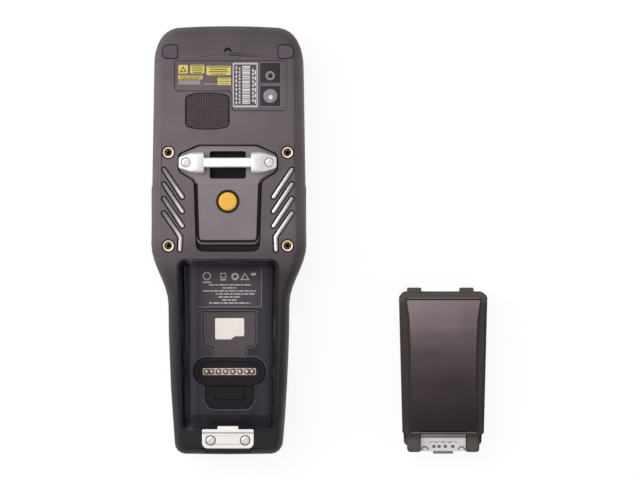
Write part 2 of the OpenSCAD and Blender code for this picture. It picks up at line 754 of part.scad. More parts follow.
module key_cap(k) {
    crown = 0.35;
    hull() {
        prism(key_outline(k, -2 * crown), key_top_z, key_top_z + eps);
        prism(key_outline(k, 0), key_top_z + crown, key_flange_z + eps);
    }
    prism(key_outline(k, key_flange_lip), key_flange_z, key_flange_z + key_flange_t);
    prism(rounded(rect(k[3] * 0.5, k[4] * 0.5, [k[1], k[2]]), 0.5), key_flange_z, key_foot_z);
}

rubber_key = [0.3, 0.3, 0.32];
module digit_key(i) { color(rubber_key) key_cap(digit_rows[i]); }
module scan_key() { color([0.93, 0.6, 0.15]) key_cap(scan_key_row); }
module left_soft_key() { color(rubber_key) key_cap(left_soft_row); }
module right_soft_key() { color(rubber_key) key_cap(right_soft_row); }
module escape_key() { color([0.6, 0.15, 0.12]) key_cap(escape_row); }
module function_key() { color([0.15, 0.35, 0.6]) key_cap(function_row); }
module power_key() { color([0.6, 0.15, 0.12]) key_cap(power_row); }
module key_1() { digit_key(0); }
module key_2() { digit_key(1); }
module key_3() { digit_key(2); }
module key_4() { digit_key(3); }
module key_5() { digit_key(4); }
module key_6() { digit_key(5); }
module key_7() { digit_key(6); }
module key_8() { digit_key(7); }
module key_9() { digit_key(8); }
module key_star() { digit_key(9); }
module key_0() { digit_key(10); }
module key_hash() { digit_key(11); }

nav_hole_r = enter_r + key_flange_lip + key_gap;

ring_step_z = key_flange_z - key_travel - 0.2;

module navigation_ring() {
    color([0.2, 0.2, 0.22]) translate([0, nav_y, 0]) rotate_extrude() polygon([
        [enter_r + key_gap, key_top_z + 0.5], [enter_r + 1.3, key_top_z],
        [nav_r - 1, key_top_z], [nav_r, key_top_z + 0.7],
        [nav_r, key_flange_z], [nav_r + key_flange_lip, key_flange_z],
        [nav_r + key_flange_lip, key_foot_z], [nav_hole_r, key_foot_z],
        [nav_hole_r, ring_step_z], [enter_r + key_gap, ring_step_z]]);
}

module enter_key() {
    color(rubber_key) translate([0, nav_y, 0]) rotate_extrude() polygon([
        [0, key_top_z + 0.3], [enter_r - 0.8, key_top_z + 0.3], [enter_r, key_top_z + 0.8],
        [enter_r, key_flange_z], [enter_r + key_flange_lip, key_flange_z],
        [enter_r + key_flange_lip, key_flange_z + key_flange_t], [2, key_flange_z + key_flange_t],
        [2, key_foot_z], [0, key_foot_z]]);
}

module keypad_mat() {
    color([0.75, 0.75, 0.72])
        prism(rounded(rect(2 * (board_half_w - 2.2), board_top_y - board_end_y,
                           [0, (board_top_y + board_end_y) / 2]), 2), mat_z, keypad_board_z);
}

module keypad_board() {
    color([0.1, 0.3, 0.18])
        prism(rounded(rect(2 * board_half_w, board_top_y - board_end_y,
                           [0, (board_top_y + board_end_y) / 2]), 2), keypad_board_z, keypad_board_z + board_t);
}

// ==== Electronics in the head ====
chip_places = [[-14, 24, 14, 14, 1.4], [10, 22, 18, 12, 1.8], [-16, 0, 20, 16, 2], [12, -2, 14, 18, 1.6]];
module main_board() {
    color([0.1, 0.32, 0.2]) {
        prism(rounded(rect(main_board_w, main_board_l, [0, main_board_y]), 4),
              main_board_z, main_board_z + board_t);
        for (c = chip_places)
            prism(rounded(rect(c[2], c[3], [c[0], main_board_y + c[1]]), 0.6),
                  main_board_z + board_t, main_board_z + board_t + c[4]);
    }
}

engine_w = 21;
engine_l = 13;
engine_h = 11;
module scan_engine() {
    low = main_board_z + board_t;
    front_y = head_l - wall - 3.6;
    color([0.2, 0.2, 0.2]) difference() {
        translate([-engine_w / 2, front_y - engine_l, low]) cube([engine_w, engine_l, scan_z - low + engine_h / 2]);
        for (sx = [-1, 1])
            translate([sx * 5, front_y + over, scan_z]) rotate([90, 0, 0]) cylinder(r = 2.6, h = 2 + over);
    }
}

module scan_window() {
    color([0.25, 0.03, 0.04]) translate([0, scan_seat_y, scan_z]) rotate([-90, 0, 0])
        prism(rounded(rect(scan_window_w, scan_window_h), 1.5), 0, scan_window_t);
}

module camera_module() {
    base_z = ceiling_z - 5.6;
    low_y = camera_y - 6;
    high_y = flash_y + 5;
    color([0.12, 0.12, 0.13]) {
        prism(rounded(rect(13, high_y - low_y, [camera_x, (low_y + high_y) / 2]), 1), base_z, base_z + board_t);
        prism(rounded(rect(9.5, 9.5, [camera_x, camera_y]), 0.6), base_z + board_t, ceiling_z);
        translate([camera_x, camera_y, ceiling_z - eps]) cylinder(r = camera_r, h = back_wall - label_depth - window_t + eps);
        prism(rounded(rect(6, 6, [camera_x, flash_y]), 0.5), base_z + board_t, ceiling_z);
        translate([camera_x, flash_y, ceiling_z - eps]) cylinder(r = flash_r, h = 0.4);
    }
}

module camera_windows() {
    color([0.1, 0.1, 0.11]) for (y = [camera_y, flash_y])
        prism(rounded(rect(window_side, window_side, [camera_x, y]), 0.7),
              body_h - label_depth - window_t, body_h - label_depth);
}

speaker_unit_t = 4;
cone_r = 0.82 * speaker_l / 2;
module speaker_unit() {
    low = ceiling_z - speaker_unit_t;
    color([0.1, 0.1, 0.1]) {
        difference() {
            prism(rounded(rect(speaker_w - 1, speaker_l, speaker_at), 3), low, ceiling_z);
            translate([speaker_at.x, speaker_at.y, low + 1]) cylinder(r = cone_r, h = speaker_unit_t);
        }
        translate([speaker_at.x, speaker_at.y, low + 1 - eps]) rotate_extrude()
            polygon([for (p = [[0, 0], [1, 0], [1, 2.2], [0.84, 2.2], [0.58, 0.9], [0.34, 0.9], [0.21, 1.5], [0, 1.8]])
                [p.x * cone_r, p.y]]);
    }
}

module speaker_mesh() {
    z0 = body_h - speaker_mesh_t - 0.3;
    cols = floor((speaker_w - 3.4) / mesh_pitch);
    rows = floor((speaker_l - 3.8) / mesh_pitch);
    hole = mesh_pitch * 0.55;
    color([0.09, 0.09, 0.09]) difference() {
        prism(speaker_outline(0), z0, z0 + speaker_mesh_t);
        for (i = [0:cols - 1]) for (j = [0:rows - 1])
            translate([speaker_at.x + (i - (cols - 1) / 2) * mesh_pitch - hole / 2,
                       speaker_at.y + (j - (rows - 1) / 2) * mesh_pitch - hole / 2, z0 - over])
                cube([hole, hole, speaker_mesh_t + 2 * over]);
    }
}

// ==== Back fittings ====
plate_outline = [
    [channel_head_w / 2 - 10.8, channel_top_y - 0.6], [-channel_head_w / 2 + 10.8, channel_top_y - 0.6],
    [-channel_head_w / 2 + 0.6, channel_top_y - 5], [-channel_head_w / 2 + 0.6, neck_y + 0.3],
    [-channel_stem_w / 2 + 0.6, stem_top_y + 0.3], [-channel_stem_w / 2 + 1.5, channel_bottom_y + plate_end_gap],
    [channel_stem_w / 2 - 1.5, channel_bottom_y + plate_end_gap], [channel_stem_w / 2 - 0.6, stem_top_y + 0.3],
    [channel_head_w / 2 - 0.6, neck_y + 0.3], [channel_head_w / 2 - 0.6, channel_top_y - 5]];
plate_radii = [2.8, 2.8, 2.8, 3.2, 2.8, 2.4, 2.4, 2.8, 3.2, 2.8];

module strap_plate() {
    color([0.2, 0.19, 0.2]) difference() {
        union() {
            prism(rounded(plate_outline, plate_radii), channel_floor_z, plate_top_z - plate_bevel);
            for (k = [0:2])
                grown_prism(rounded(plate_outline, plate_radii), -plate_bevel * (k + 1) / 4,
                            plate_top_z - plate_bevel * (3 - k) / 3 - eps, plate_top_z - plate_bevel * (2 - k) / 3);
        }
        prism(rounded(rect(strap_gap_w, strap_gap_l, [0, strap_y]), 1.2), channel_floor_z - over, plate_top_z + over);
        translate([0, trigger_y, channel_floor_z - over]) cylinder(r = bezel_r + seat_gap / 2, h = 8);
        for (sx = [-1, 1])
            translate([sx * lug_screw_x, bar_y, channel_floor_z - over]) cylinder(r = screw_r + 0.2, h = 8);
    }
}

module strap_bar() {
    color([0.86, 0.86, 0.87]) translate([0, bar_y, bar_z]) intersection() {
        rotate([0, 90, 0]) translate([0, 0, -lug_in_x - 5]) cylinder(d = bar_w, h = 2 * lug_in_x + 10);
        translate([-lug_in_x - 6, -bar_w, -bar_t / 2]) cube([2 * lug_in_x + 12, 2 * bar_w, bar_t]);
    }
}

module bar_lugs() {
    hw_in = 5.3;
    hw_out = 2.7;
    color([0.8, 0.8, 0.82]) difference() {
        mirror_pair() intersection() {
            prism(rounded([[lug_out_x, bar_y + hw_out], [lug_in_x + 4.5, bar_y + hw_in], [lug_in_x, bar_y + hw_in],
                           [lug_in_x, bar_y - hw_in], [lug_in_x + 4.5, bar_y - hw_in], [lug_out_x, bar_y - hw_out]],
                          [1, 1.5, 0.5, 0.5, 1.5, 1]), plate_top_z, plate_top_z + lug_t + 2);
            // The lug falls away towards its outer end and its long sides.
            rotate([90, 0, 0]) translate([0, 0, -bar_y - 8]) linear_extrude(16)
                polygon([[lug_in_x - 1, plate_top_z - 1], [lug_out_x + 1, plate_top_z - 1], [lug_out_x + 1, plate_top_z + 2],
                         [lug_in_x + 5, plate_top_z + lug_t], [lug_in_x - 1, plate_top_z + lug_t]]);
            rotate([90, 0, 90]) linear_extrude(lug_out_x + 2)
                polygon([[bar_y + 5.6, plate_top_z - 1], [bar_y + 5.6, plate_top_z + 2.4], [bar_y + 3.4, plate_top_z + lug_t + 1],
                         [bar_y - 3.4, plate_top_z + lug_t + 1], [bar_y - 5.6, plate_top_z + 2.4], [bar_y - 5.6, plate_top_z - 1]]);
        }
        translate([-lug_in_x - 5.1, bar_y, bar_z]) rotate([0, 90, 0]) intersection() {
            cylinder(d = bar_w + 2 * running_gap, h = 2 * lug_in_x + 10.2);
            translate([-bar_t / 2 - running_gap, -bar_w, -over]) cube([bar_t + 2 * running_gap, 2 * bar_w, 60]);
        }
        for (sx = [-1, 1]) {
            translate([sx * lug_screw_x, bar_y, plate_top_z - over]) cylinder(r = screw_r + 0.2, h = 8);
            translate([sx * lug_screw_x, bar_y, lug_seat_z]) cylinder(r = screw_head_r + 0.2, h = 8);
        }
    }
}

module screw(at, seat_z, length) {
    translate([at.x, at.y, seat_z]) difference() {
        union() {
            cylinder(r = screw_head_r, h = screw_head_t);
            translate([0, 0, -length]) cylinder(r = screw_r, h = length + eps);
        }
        translate([0, 0, 0.4]) cylinder(r = socket_r, h = 2, $fn = 6);
    }
}

module plate_screws() {
    color([0.75, 0.75, 0.77]) for (sx = [-1, 1]) {
        screw([sx * lug_screw_x, bar_y], lug_seat_z, lug_screw_l);
        screw([sx * strike_screw_x, strike_screw_y], strike_seat_z, strike_screw_l);
    }
}

module trigger_bezel() {
    color([0.05, 0.05, 0.05]) translate([0, trigger_y, 0]) rotate_extrude() polygon([
        [trigger_r + running_gap, channel_floor_z], [bezel_r, channel_floor_z],
        [bezel_r, bezel_top_z - 0.5], [bezel_r - 0.4, bezel_top_z],
        [trigger_r + 0.4, bezel_top_z], [trigger_r + running_gap, bezel_top_z - 0.4]]);
}

module trigger_button() {
    color([0.93, 0.6, 0.15]) translate([0, trigger_y, 0]) rotate_extrude() polygon([
        [0, channel_floor_z - 0.1 - trigger_flange_t], [trigger_flange_r, channel_floor_z - 0.1 - trigger_flange_t],
        [trigger_flange_r, channel_floor_z - 0.1], [trigger_r, channel_floor_z - 0.1],
        [trigger_r, trigger_top_z - 0.6], [trigger_r - 0.25, trigger_top_z - 0.2],
        [trigger_r - 0.8, trigger_top_z], [0, trigger_top_z - 0.15]]);
}

module grip_inlays() {
    color([0.35, 0.35, 0.37]) gills(-seat_gap, body_h - gill_depth, body_h - 0.15);
}

module threaded_inserts() {
    color([0.72, 0.55, 0.28]) for (p = insert_places) translate([p.x, p.y, body_h - insert_l - 0.2]) difference() {
        cylinder(r = insert_r, h = insert_l);
        translate([0, 0, -over]) cylinder(r = insert_bore_r, h = insert_l + 2 * over);
        translate([0, 0, insert_l - 0.5]) cylinder(r1 = insert_bore_r, r2 = insert_bore_r + 0.6, h = 0.6);
    }
}

module corner_pads() {
    color([0.12, 0.12, 0.12]) mirror_pair()
        prism(pad_outline(0), body_h + pad_proud - pad_t, body_h + pad_proud);
}

// ==== Battery bay ====
module battery_bay() {
    outer = bay_rim_lip;
    color([0.08, 0.08, 0.1]) difference() {
        union() {
            prism(bay_plan(outer), bay_under_z, body_h);
            prism(bay_plan(0), body_h - bay_rim_t, body_h);
        }
        // Drafted cavity with a ramp at its lower end
        hull() {
            prism(bay_plan(bay_inner + bay_draft, bay_ramp_l), bay_floor_z, bay_floor_z + eps);
            prism(bay_plan(bay_inner), body_h - 3, body_h + over);
        }
        // Lead-in round the mouth
        hull() {
            prism(bay_plan(bay_inner), body_h - 2.6, body_h - 2.5);
            prism(bay_plan(bay_rim_lip), body_h + eps, body_h + over);
        }
        // Slots for the pack's tabs
        for (x = tab_places)
            translate([x - tab_w / 2 - 0.3, bay_top_y - 6, tab_low_z - 0.3])
                cube([tab_w + 0.6, 5.6, tab_t + 0.6]);
        // Pocket of the card door, with the hinge's bearings
        prism(door_outline(seat_gap), door_pocket_z, bay_floor_z + over);
        translate([-door_w / 2 - seat_gap, hinge_y - eps, door_pocket_z])
            cube([door_w + 2 * seat_gap, hinge_r + 0.1, bay_floor_z - door_pocket_z + over]);
        translate([-door_w / 2 - hinge_pin_l - 0.2, hinge_y, hinge_z]) rotate([0, 90, 0])
            cylinder(r = hinge_pin_r + running_gap, h = door_w + 2 * hinge_pin_l + 0.4);
        prism(rounded(rect(socket_w + 4 * seat_gap, socket_l + 4 * seat_gap, card_at - [0, 1]), 0.6),
              bay_under_z - over, door_pocket_z + over);
        // Opening for the contact strip
        prism(rounded(rect(strip_w + 2 * seat_gap, strip_l + 2 * seat_gap, [0, contact_y]), 0.8),
              bay_under_z - over, bay_floor_z + over);
        // Notch for the strike plate's tongue
        translate([-strike_tongue_w / 2 - 0.3, bay_bottom_y - over, strike_under_z - 0.2])
            cube([strike_tongue_w + 0.6, 4, 4]);
        translate([-strike_w / 2 - 0.3, bay_bottom_y - over, strike_under_z])
            cube([strike_w + 0.6, over + strike_top_y - bay_bottom_y + seat_gap, 4]);
    }
}

module card_door() {
    color([0.24, 0.23, 0.25]) difference() {
        union() {
            prism(door_outline(0), door_low_z, door_low_z + door_t);
            translate([-door_w / 2, hinge_y, hinge_z]) rotate([0, 90, 0]) cylinder(r = hinge_r, h = door_w);
            translate([-door_w / 2 - hinge_pin_l, hinge_y, hinge_z]) rotate([0, 90, 0])
                cylinder(r = hinge_pin_r, h = door_w + 2 * hinge_pin_l);
        }
        grown_prism(card_outline, seat_gap, door_low_z + door_t - card_seat, bay_floor_z + over);
        // Thumb notch beside the card
        translate([card_at.x - card_w / 2, card_at.y, door_low_z + door_t - card_seat]) cylinder(r = 1.6, h = 2);
    }
}

module memory_card() {
    color([0.8, 0.77, 0.74])
        prism(card_outline, door_low_z + door_t - card_seat, door_low_z + door_t - card_seat + card_t);
}

module card_socket() {
    color([0.7, 0.7, 0.68])
        prism(rounded(rect(socket_w, socket_l, card_at - [0, 1]), 0.5), bay_under_z, door_pocket_z);
}

module contact_block() {
    color([0.62, 0.6, 0.55]) difference() {
        prism(rounded(rect(strip_w, strip_l, [0, contact_y]), 0.7), bay_under_z, strip_top_z);
        for (x = pin_places)
            translate([x, contact_y, pin_low_z - pin_travel - 0.1]) cylinder(r = pin_r + running_gap, h = 9);
    }
}

module contact_pins() {
    color([0.75, 0.6, 0.35]) for (x = pin_places)
        translate([x, contact_y, 0]) rotate_extrude() polygon([
            [0, pin_low_z], [pin_r, pin_low_z], [pin_r, pin_high_z - 0.6],
            [pin_r * 0.75, pin_high_z - 0.2], [pin_r * 0.3, pin_high_z], [0, pin_high_z]]);
}

module contact_seal() {
    color([0.1, 0.1, 0.11]) difference() {
        union() {
            prism(rounded(rect(seal_w, seal_l, [0, contact_y]), seal_l / 2 - 0.2, 8), bay_floor_z, seal_top_z);
            prism(rounded(rect(lobe_w, lobe_l + seal_l / 2, [0, contact_y - (lobe_l + seal_l / 2) / 2]),
                          [0, 0, 5, 5], 6), bay_floor_z, lobe_top_z);
            prism(rounded(rect(seal_pad_w, seal_pad_l, [0, contact_y - seal_l / 2 - seal_pad_l / 2 - 0.4]), 0.8),
                  bay_floor_z, lobe_top_z + 0.5);
        }
        prism(rounded(rect(seal_step_w, seal_step_l, [0, contact_y]), seal_step_l / 2 - 0.2, 8),
              seal_top_z - 0.9, seal_top_z + over);
        prism(rounded(rect(strip_w + 2 * seat_gap, strip_l + 2 * seat_gap, [0, contact_y]), 0.8),
              bay_floor_z - over, seal_top_z + over);
    }
}

module strike_plate() {
    color([0.85, 0.85, 0.87]) difference() {
        union() {
            prism(rounded(rect(strike_w, strike_l, [0, strike_y]), [0.5, 0.5, 2.7, 2.7]), strike_under_z, body_h);
            prism(rect(strike_tongue_w, strike_tongue_l + 1, [0, strike_top_y + strike_tongue_l / 2 - 0.5]),
                  strike_under_z, strike_under_z + 1);
        }
        for (sx = [-1, 1]) translate([sx * strike_screw_x, strike_screw_y, 0]) {
            translate([0, 0, strike_under_z - over]) cylinder(r = screw_r + 0.2, h = 4);
            translate([0, 0, strike_seat_z]) cylinder(r = screw_head_r + 0.15, h = 3);
        }
        // Fold line along the upper edge
        translate([-strike_w / 2 - over, strike_top_y - 2.1, body_h - 0.15]) cube([strike_w + 2 * over, 0.5, 1]);
    }
}

dock_places = [for (k = [-4:4]) k * 2];
module dock_connector() {
    color([0.09, 0.09, 0.1]) difference() {
        translate([0, dock_front_y, dock_z]) rotate([-90, 0, 0])
            prism(rounded(rect(dock_w, dock_h), 1.3), -0.6, 5);
        translate([0, dock_front_y - over, dock_z]) rotate([-90, 0, 0])
            prism(rounded(rect(dock_w - 2, dock_h - 2), 0.8), 0, 3.4);
    }
    color([0.75, 0.6, 0.35]) for (x = dock_places)
        translate([x - 0.4, dock_front_y + 1.6, dock_z - 0.7]) cube([0.8, 1.2, 1.4]);
}

module side_trigger() {
    out_x = half_width(side_trigger_y) + side_trigger_proud - 0.2;
    inner_x = half_width(side_trigger_y) - wall - side_draft - side_travel;
    color([0.93, 0.6, 0.15]) union() {
        side_slot(0, inner_x - 0.6, out_x - 0.5);
        side_slot(-0.5, inner_x - 0.6, out_x);
        side_slot(side_flange, inner_x - 1.2, inner_x - 0.2 + side_travel - 0.4);
    }
}
module side_trigger_left() { mirror([1, 0, 0]) side_trigger(); }
module side_trigger_right() { side_trigger(); }

// ==== Battery pack, drawn in its bay and then moved beside the body ====
pack_low_z = bay_floor_z + 0.3;
pack_split_z = pack_low_z + 13;
pack_face_z = body_h - 0.6;
pack_top_y = bay_top_y - bay_inner - 0.7;
pack_foot_y = bay_bottom_y + 2.4;
pack_body_y = pack_foot_y + 8.4;
pack_foot_w = 36.6;
pack_r = 2.6;
latch_w = 24;
latch_top_y = pack_foot_y + 9.8;
tab_w = 8.2;
tab_l = 2.8;
tab_t = 2.4;
tab_places = [-14.7, 12];
tab_low_z = pack_split_z + 1;
contact_recess = 2.2;
pad_low_z = pack_low_z + contact_recess - 0.4;

// Plan of the pack: a tapered block whose lower corners step in to two feet.
function pack_plan(shrink) =
    let (tw = bay_rim_w / 2 - bay_inner - pack_gap - shrink, low = tw - bay_taper / 2,
         fw = pack_foot_w / 2 - shrink / 2)
    rounded([[tw, pack_top_y - shrink], [-tw, pack_top_y - shrink], [-low, pack_body_y + 1.2],
             [-fw, pack_body_y], [-fw, pack_foot_y + shrink], [fw, pack_foot_y + shrink],
             [fw, pack_body_y], [low, pack_body_y + 1.2]],
            [pack_r, pack_r, 1, 0.8, 1.4, 1.4, 0.8, 1]);
function pack_under_plan(shrink) =
    let (tw = bay_rim_w / 2 - bay_inner - bay_draft - pack_gap - shrink)
    rounded(trapezoid(2 * tw, 2 * tw - bay_taper, pack_top_y - shrink, pack_foot_y + bay_ramp_l + 1 + shrink), pack_r);
panel_top_y = pack_top_y - 4;
panel_low_y = pack_body_y + 2.2;
panel_outline = let (l = panel_top_y - panel_low_y)
    [for (s = [1, -1]) each [for (k = s > 0 ? [0:4] : [4:-1:0])
        let (p = [[19, 0], [17.6, 0.14], [16.9, 0.4], [16.7, 0.8], [17.4, 1]][k])
        [s * p.x, panel_top_y - p.y * l]]];

module in_pack() {
    translate([pack_shift_x, -pack_shift_y, -pack_low_z]) children();
}

module latch_notch(low_z) {
    translate([-latch_w / 2, pack_foot_y - over, low_z]) cube([latch_w, latch_top_y - pack_foot_y + over + 1.5, 40]);
}

module battery_case() {
    color([0.14, 0.12, 0.13]) in_pack() difference() {
        union() {
            hull() {
                prism(pack_under_plan(0), pack_low_z, pack_low_z + 1);
                prism(pack_under_plan(-bay_draft / 2), pack_split_z - 1, pack_split_z);
            }
        }
        prism(pack_under_plan(pack_wall), pack_low_z + contact_recess + pack_wall, pack_split_z + over);
        prism(rounded(rect(seal_w + 1.2, seal_l + 1.2, [0, contact_y]), 4), pack_low_z - over, pack_low_z + contact_recess);
        prism(rounded(rect(lobe_w + 1.2, lobe_l + 2, [0, contact_y - seal_l / 2 - lobe_l / 2]), 3), pack_low_z - over, pack_low_z + 1);
        for (x = pin_places)
            translate([x - 1.25, contact_y - 1.7, pack_low_z]) cube([2.5, 3.4, contact_recess + 0.3]);
    }
}

module battery_cover() {
    color([0.2, 0.17, 0.18]) in_pack() difference() {
        union() {
            prism(pack_plan(0), pack_split_z, pack_face_z - 1.2);
            prism(pack_plan(0.5), pack_face_z - 1.2 - eps, pack_face_z - 0.5);
            prism(pack_plan(1.2), pack_face_z - 0.5 - eps, pack_face_z);
            prism(panel_outline, pack_face_z - eps, body_h);
            for (x = tab_places)
                prism(trapezoid(tab_w - 1.2, tab_w, pack_top_y + tab_l, pack_top_y - 1.5) + [for (k = [0:3]) [x, 0]],
                      tab_low_z, tab_low_z + tab_t);
        }
        prism(rounded(trapezoid(2 * pack_room_w, 2 * pack_room_w - bay_taper, pack_top_y - pack_wall,
                                latch_top_y + 2.4), 1.4), pack_split_z - over, pack_face_z - pack_wall);
        latch_notch(latch_floor_z);
    }
}
pack_room_w = bay_rim_w / 2 - bay_inner - bay_draft - pack_gap - pack_wall;
latch_floor_z = pack_split_z + 1.2;

cell_gap = 1;
cell_top_y = pack_top_y - pack_wall - cell_gap;
cell_low_y = latch_top_y + 2.4 + cell_gap + board_t;
cell_w = 2 * pack_room_w - bay_taper - cell_gap;
cell_l = cell_top_y - cell_low_y;
cell_t = 7.2;
cell_low_z = pack_low_z + contact_recess + pack_wall;
cell_y = (cell_top_y + cell_low_y) / 2;
module battery_cells() {
    color([0.25, 0.4, 0.55]) in_pack() for (k = [0, 1])
        translate([0, cell_y, cell_low_z + k * cell_t]) rotate([90, 0, 0]) translate([0, 0, -cell_l / 2])
            linear_extrude(cell_l) polygon(rounded(rect(cell_w, cell_t, [0, cell_t / 2]), 2.4));
}

module battery_contacts() {
    color([0.8, 0.65, 0.35]) in_pack() for (x = pin_places)
        translate([x - 1.25, contact_y - 1.7, pad_low_z]) cube([2.5, 3.4, 0.7]);
}

module protection_board() {
    color([0.1, 0.3, 0.18]) in_pack()
        translate([-15, cell_y - cell_l / 2 - board_t, cell_low_z]) cube([30, board_t, 12]);
}

latch_z = pack_face_z - 2.2;
module battery_latch() {
    hw = latch_w / 2 - 0.4;
    roll_r = 1.35;
    roll_y = latch_top_y - roll_r;
    color([0.8, 0.8, 0.81]) in_pack() {
        // Side profile of the plate, then the roll that a finger pushes
        rotate([90, 0, 90]) translate([0, 0, -hw]) linear_extrude(2 * hw)
            polygon([[roll_y, latch_floor_z + 0.15], [roll_y, latch_z + 0.8], [roll_y - 1.6, latch_z + 0.4],
                     [pack_foot_y + 0.3, latch_z - 1.4], [pack_foot_y + 0.3, latch_floor_z + 0.15]]);
        translate([-hw, roll_y, latch_z]) rotate([0, 90, 0]) cylinder(r = roll_r, h = 2 * hw);
        translate([-5.1, pack_foot_y - 1.1, latch_z - 3.2]) cube([10.2, 2, 1.4]);
    }
}

rear_housing();
front_housing();
housing_gasket();
display_lens();
lcd_panel();
keypad_mat();
keypad_board();
main_board();
scan_engine();
scan_window();
camera_module();
camera_windows();
speaker_unit();
speaker_mesh();
strap_plate();
strap_bar();
bar_lugs();
plate_screws();
trigger_bezel();
trigger_button();
grip_inlays();
threaded_inserts();
corner_pads();
battery_bay();
card_door();
memory_card();
card_socket();
contact_block();
contact_pins();
contact_seal();
strike_plate();
dock_connector();
side_trigger_left();
side_trigger_right();
scan_key();
left_soft_key();
right_soft_key();
navigation_ring();
enter_key();
escape_key();
function_key();
power_key();
key_1();
key_2();
key_3();
key_4();
key_5();
key_6();
key_7();
key_8();
key_9();
key_star();
key_0();
key_hash();
battery_case();
battery_cover();
battery_cells();
battery_contacts();
protection_board();
battery_latch();
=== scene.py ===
"""Looks of a portable barcode data terminal, back up, with its battery pack beside it.

Sizes are in millimetres and become metres when a mesh is built.
"""

import json
import logging
import math
from dataclasses import dataclass
from enum import Enum
from typing import Callable, Iterable, Sequence

import bmesh
import bpy
from mathutils import Matrix, Vector

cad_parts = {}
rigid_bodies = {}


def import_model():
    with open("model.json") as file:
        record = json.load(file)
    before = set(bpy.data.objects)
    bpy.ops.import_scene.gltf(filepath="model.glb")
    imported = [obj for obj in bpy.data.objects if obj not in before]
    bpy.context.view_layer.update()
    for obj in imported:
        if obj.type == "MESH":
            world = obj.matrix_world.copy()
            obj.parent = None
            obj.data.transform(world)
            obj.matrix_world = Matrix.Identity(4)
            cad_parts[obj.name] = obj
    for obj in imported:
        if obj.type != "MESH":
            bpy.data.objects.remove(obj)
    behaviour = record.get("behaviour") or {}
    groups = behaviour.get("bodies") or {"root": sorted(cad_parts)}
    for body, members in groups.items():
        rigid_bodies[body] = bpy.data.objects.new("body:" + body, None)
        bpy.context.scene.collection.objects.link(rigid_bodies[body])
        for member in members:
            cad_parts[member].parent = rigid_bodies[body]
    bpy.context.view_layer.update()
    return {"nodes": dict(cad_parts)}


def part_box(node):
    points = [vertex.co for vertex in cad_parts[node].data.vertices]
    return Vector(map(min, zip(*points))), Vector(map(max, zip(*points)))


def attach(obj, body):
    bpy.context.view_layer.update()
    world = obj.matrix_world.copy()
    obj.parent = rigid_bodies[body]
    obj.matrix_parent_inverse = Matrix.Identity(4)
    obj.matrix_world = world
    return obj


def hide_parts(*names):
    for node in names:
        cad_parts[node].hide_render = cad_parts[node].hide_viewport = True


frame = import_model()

log = logging.getLogger("terminal")

MM = 0.001
TERMINAL = "terminal"
Point = tuple[float, float]
Place = tuple[float, float, float]
Patch = tuple[float, float, float, float]
Colour = tuple[int, int, int]
Object = bpy.types.Object
Socket = bpy.types.NodeSocket


# ---- Outlines, in millimetres ----

def lerp(a: float, b: float, t: float) -> float:
    """The value a share t of the way from a to b."""
    return a + (b - a) * t


def rect(width: float, length: float, at: Point = (0, 0)) -> list[Point]:
    """A rectangle's corners, counter-clockwise from the upper right."""
    return [(at[0] + sx * width / 2, at[1] + sy * length / 2)
            for sx, sy in ((1, 1), (-1, 1), (-1, -1), (1, -1))]


def arc(centre: Sequence[float], r: float, start: float, end: float, steps: int) -> list[Point]:
    """Points on an arc, from one angle to another in degrees, both ends included."""
    turns = [math.radians(lerp(start, end, k / steps)) for k in range(steps + 1)]
    return [(centre[0] + r * math.cos(a), centre[1] + r * math.sin(a)) for a in turns]


def circle(r: float, at: Point = (0, 0), steps: int = 48) -> list[Point]:
    """A circle as an outline."""
    return arc(at, r, 0, 360, steps)[:-1]


def rounded(points: Sequence[Point], radius: float | Sequence[float], steps: int = 6) -> list[Point]:
    """An outline with its corners rounded.

    Args:
        points: The corners.
        radius: One radius, or one per corner.
        steps: Parts that each arc has.

    Returns:
        The rounded outline.
    """
    out: list[Point] = []
    for i, corner in enumerate(points):
        r = radius[i] if isinstance(radius, (list, tuple)) else radius
        b = Vector(corner)
        u = (Vector(points[i - 1]) - b).normalized()
        v = (Vector(points[(i + 1) % len(points)]) - b).normalized()
        half = math.acos(max(-1, min(1, u.dot(v)))) / 2
        centre = b + (u + v).normalized() * r / math.sin(half)
        start = (b + u * r / math.tan(half) - centre).normalized()
        end = (b + v * r / math.tan(half) - centre).normalized()
        out += [tuple(centre + start.lerp(end, k / steps).normalized() * r) for k in range(steps + 1)]
    return out


def inset(points: Sequence[Point], depth: float) -> list[Point]:
    """The outline moved inwards by depth, corner by corner."""
    doubled_area = sum(a[0] * b[1] - b[0] * a[1] for a, b in zip(points, [*points[1:], points[0]]))
    turn = 1 if doubled_area > 0 else -1
    out = []
    for i, p in enumerate(points):
        u = (Vector(p) - Vector(points[i - 1])).normalized()
        v = (Vector(points[(i + 1) % len(points)]) - Vector(p)).normalized()
        nu, nv = Vector((-u.y, u.x)) * turn, Vector((-v.y, v.x)) * turn
        mid = nu + nv
        mid = mid.normalized() if mid.length > 1e-6 else nu
        out.append(tuple(Vector(p) + mid * depth / max(0.4, mid.dot(nu))))
    return out


def trail(path: Sequence[Point], r: float, steps: int = 8) -> list[Point]:
    """The outline of a strip with round ends that runs along a path, r on each side."""
    line = [Vector(p) for p in path]
    ways = [(b - a).normalized() for a, b in zip(line, line[1:])]
    sides = []
    for i in range(len(line)):
        u, v = ways[max(0, i - 1)], ways[min(i, len(ways) - 1)]
        across = Vector((-u.y - v.y, u.x + v.x)).normalized()
        sides.append(across * r / across.dot(Vector((-v.y, v.x))))
    out = [tuple(p - side) for p, side in zip(line, sides)]
    for end, way in ((line[-1], ways[-1]), (line[0], -ways[0])):
        start = math.degrees(math.atan2(-way.x, way.y))
        out += arc(end, r, start, start + 180, steps)[1:-1]
        if end is line[-1]:
            out += [tuple(p + side) for p, side in reversed(list(zip(line, sides)))]
    return out


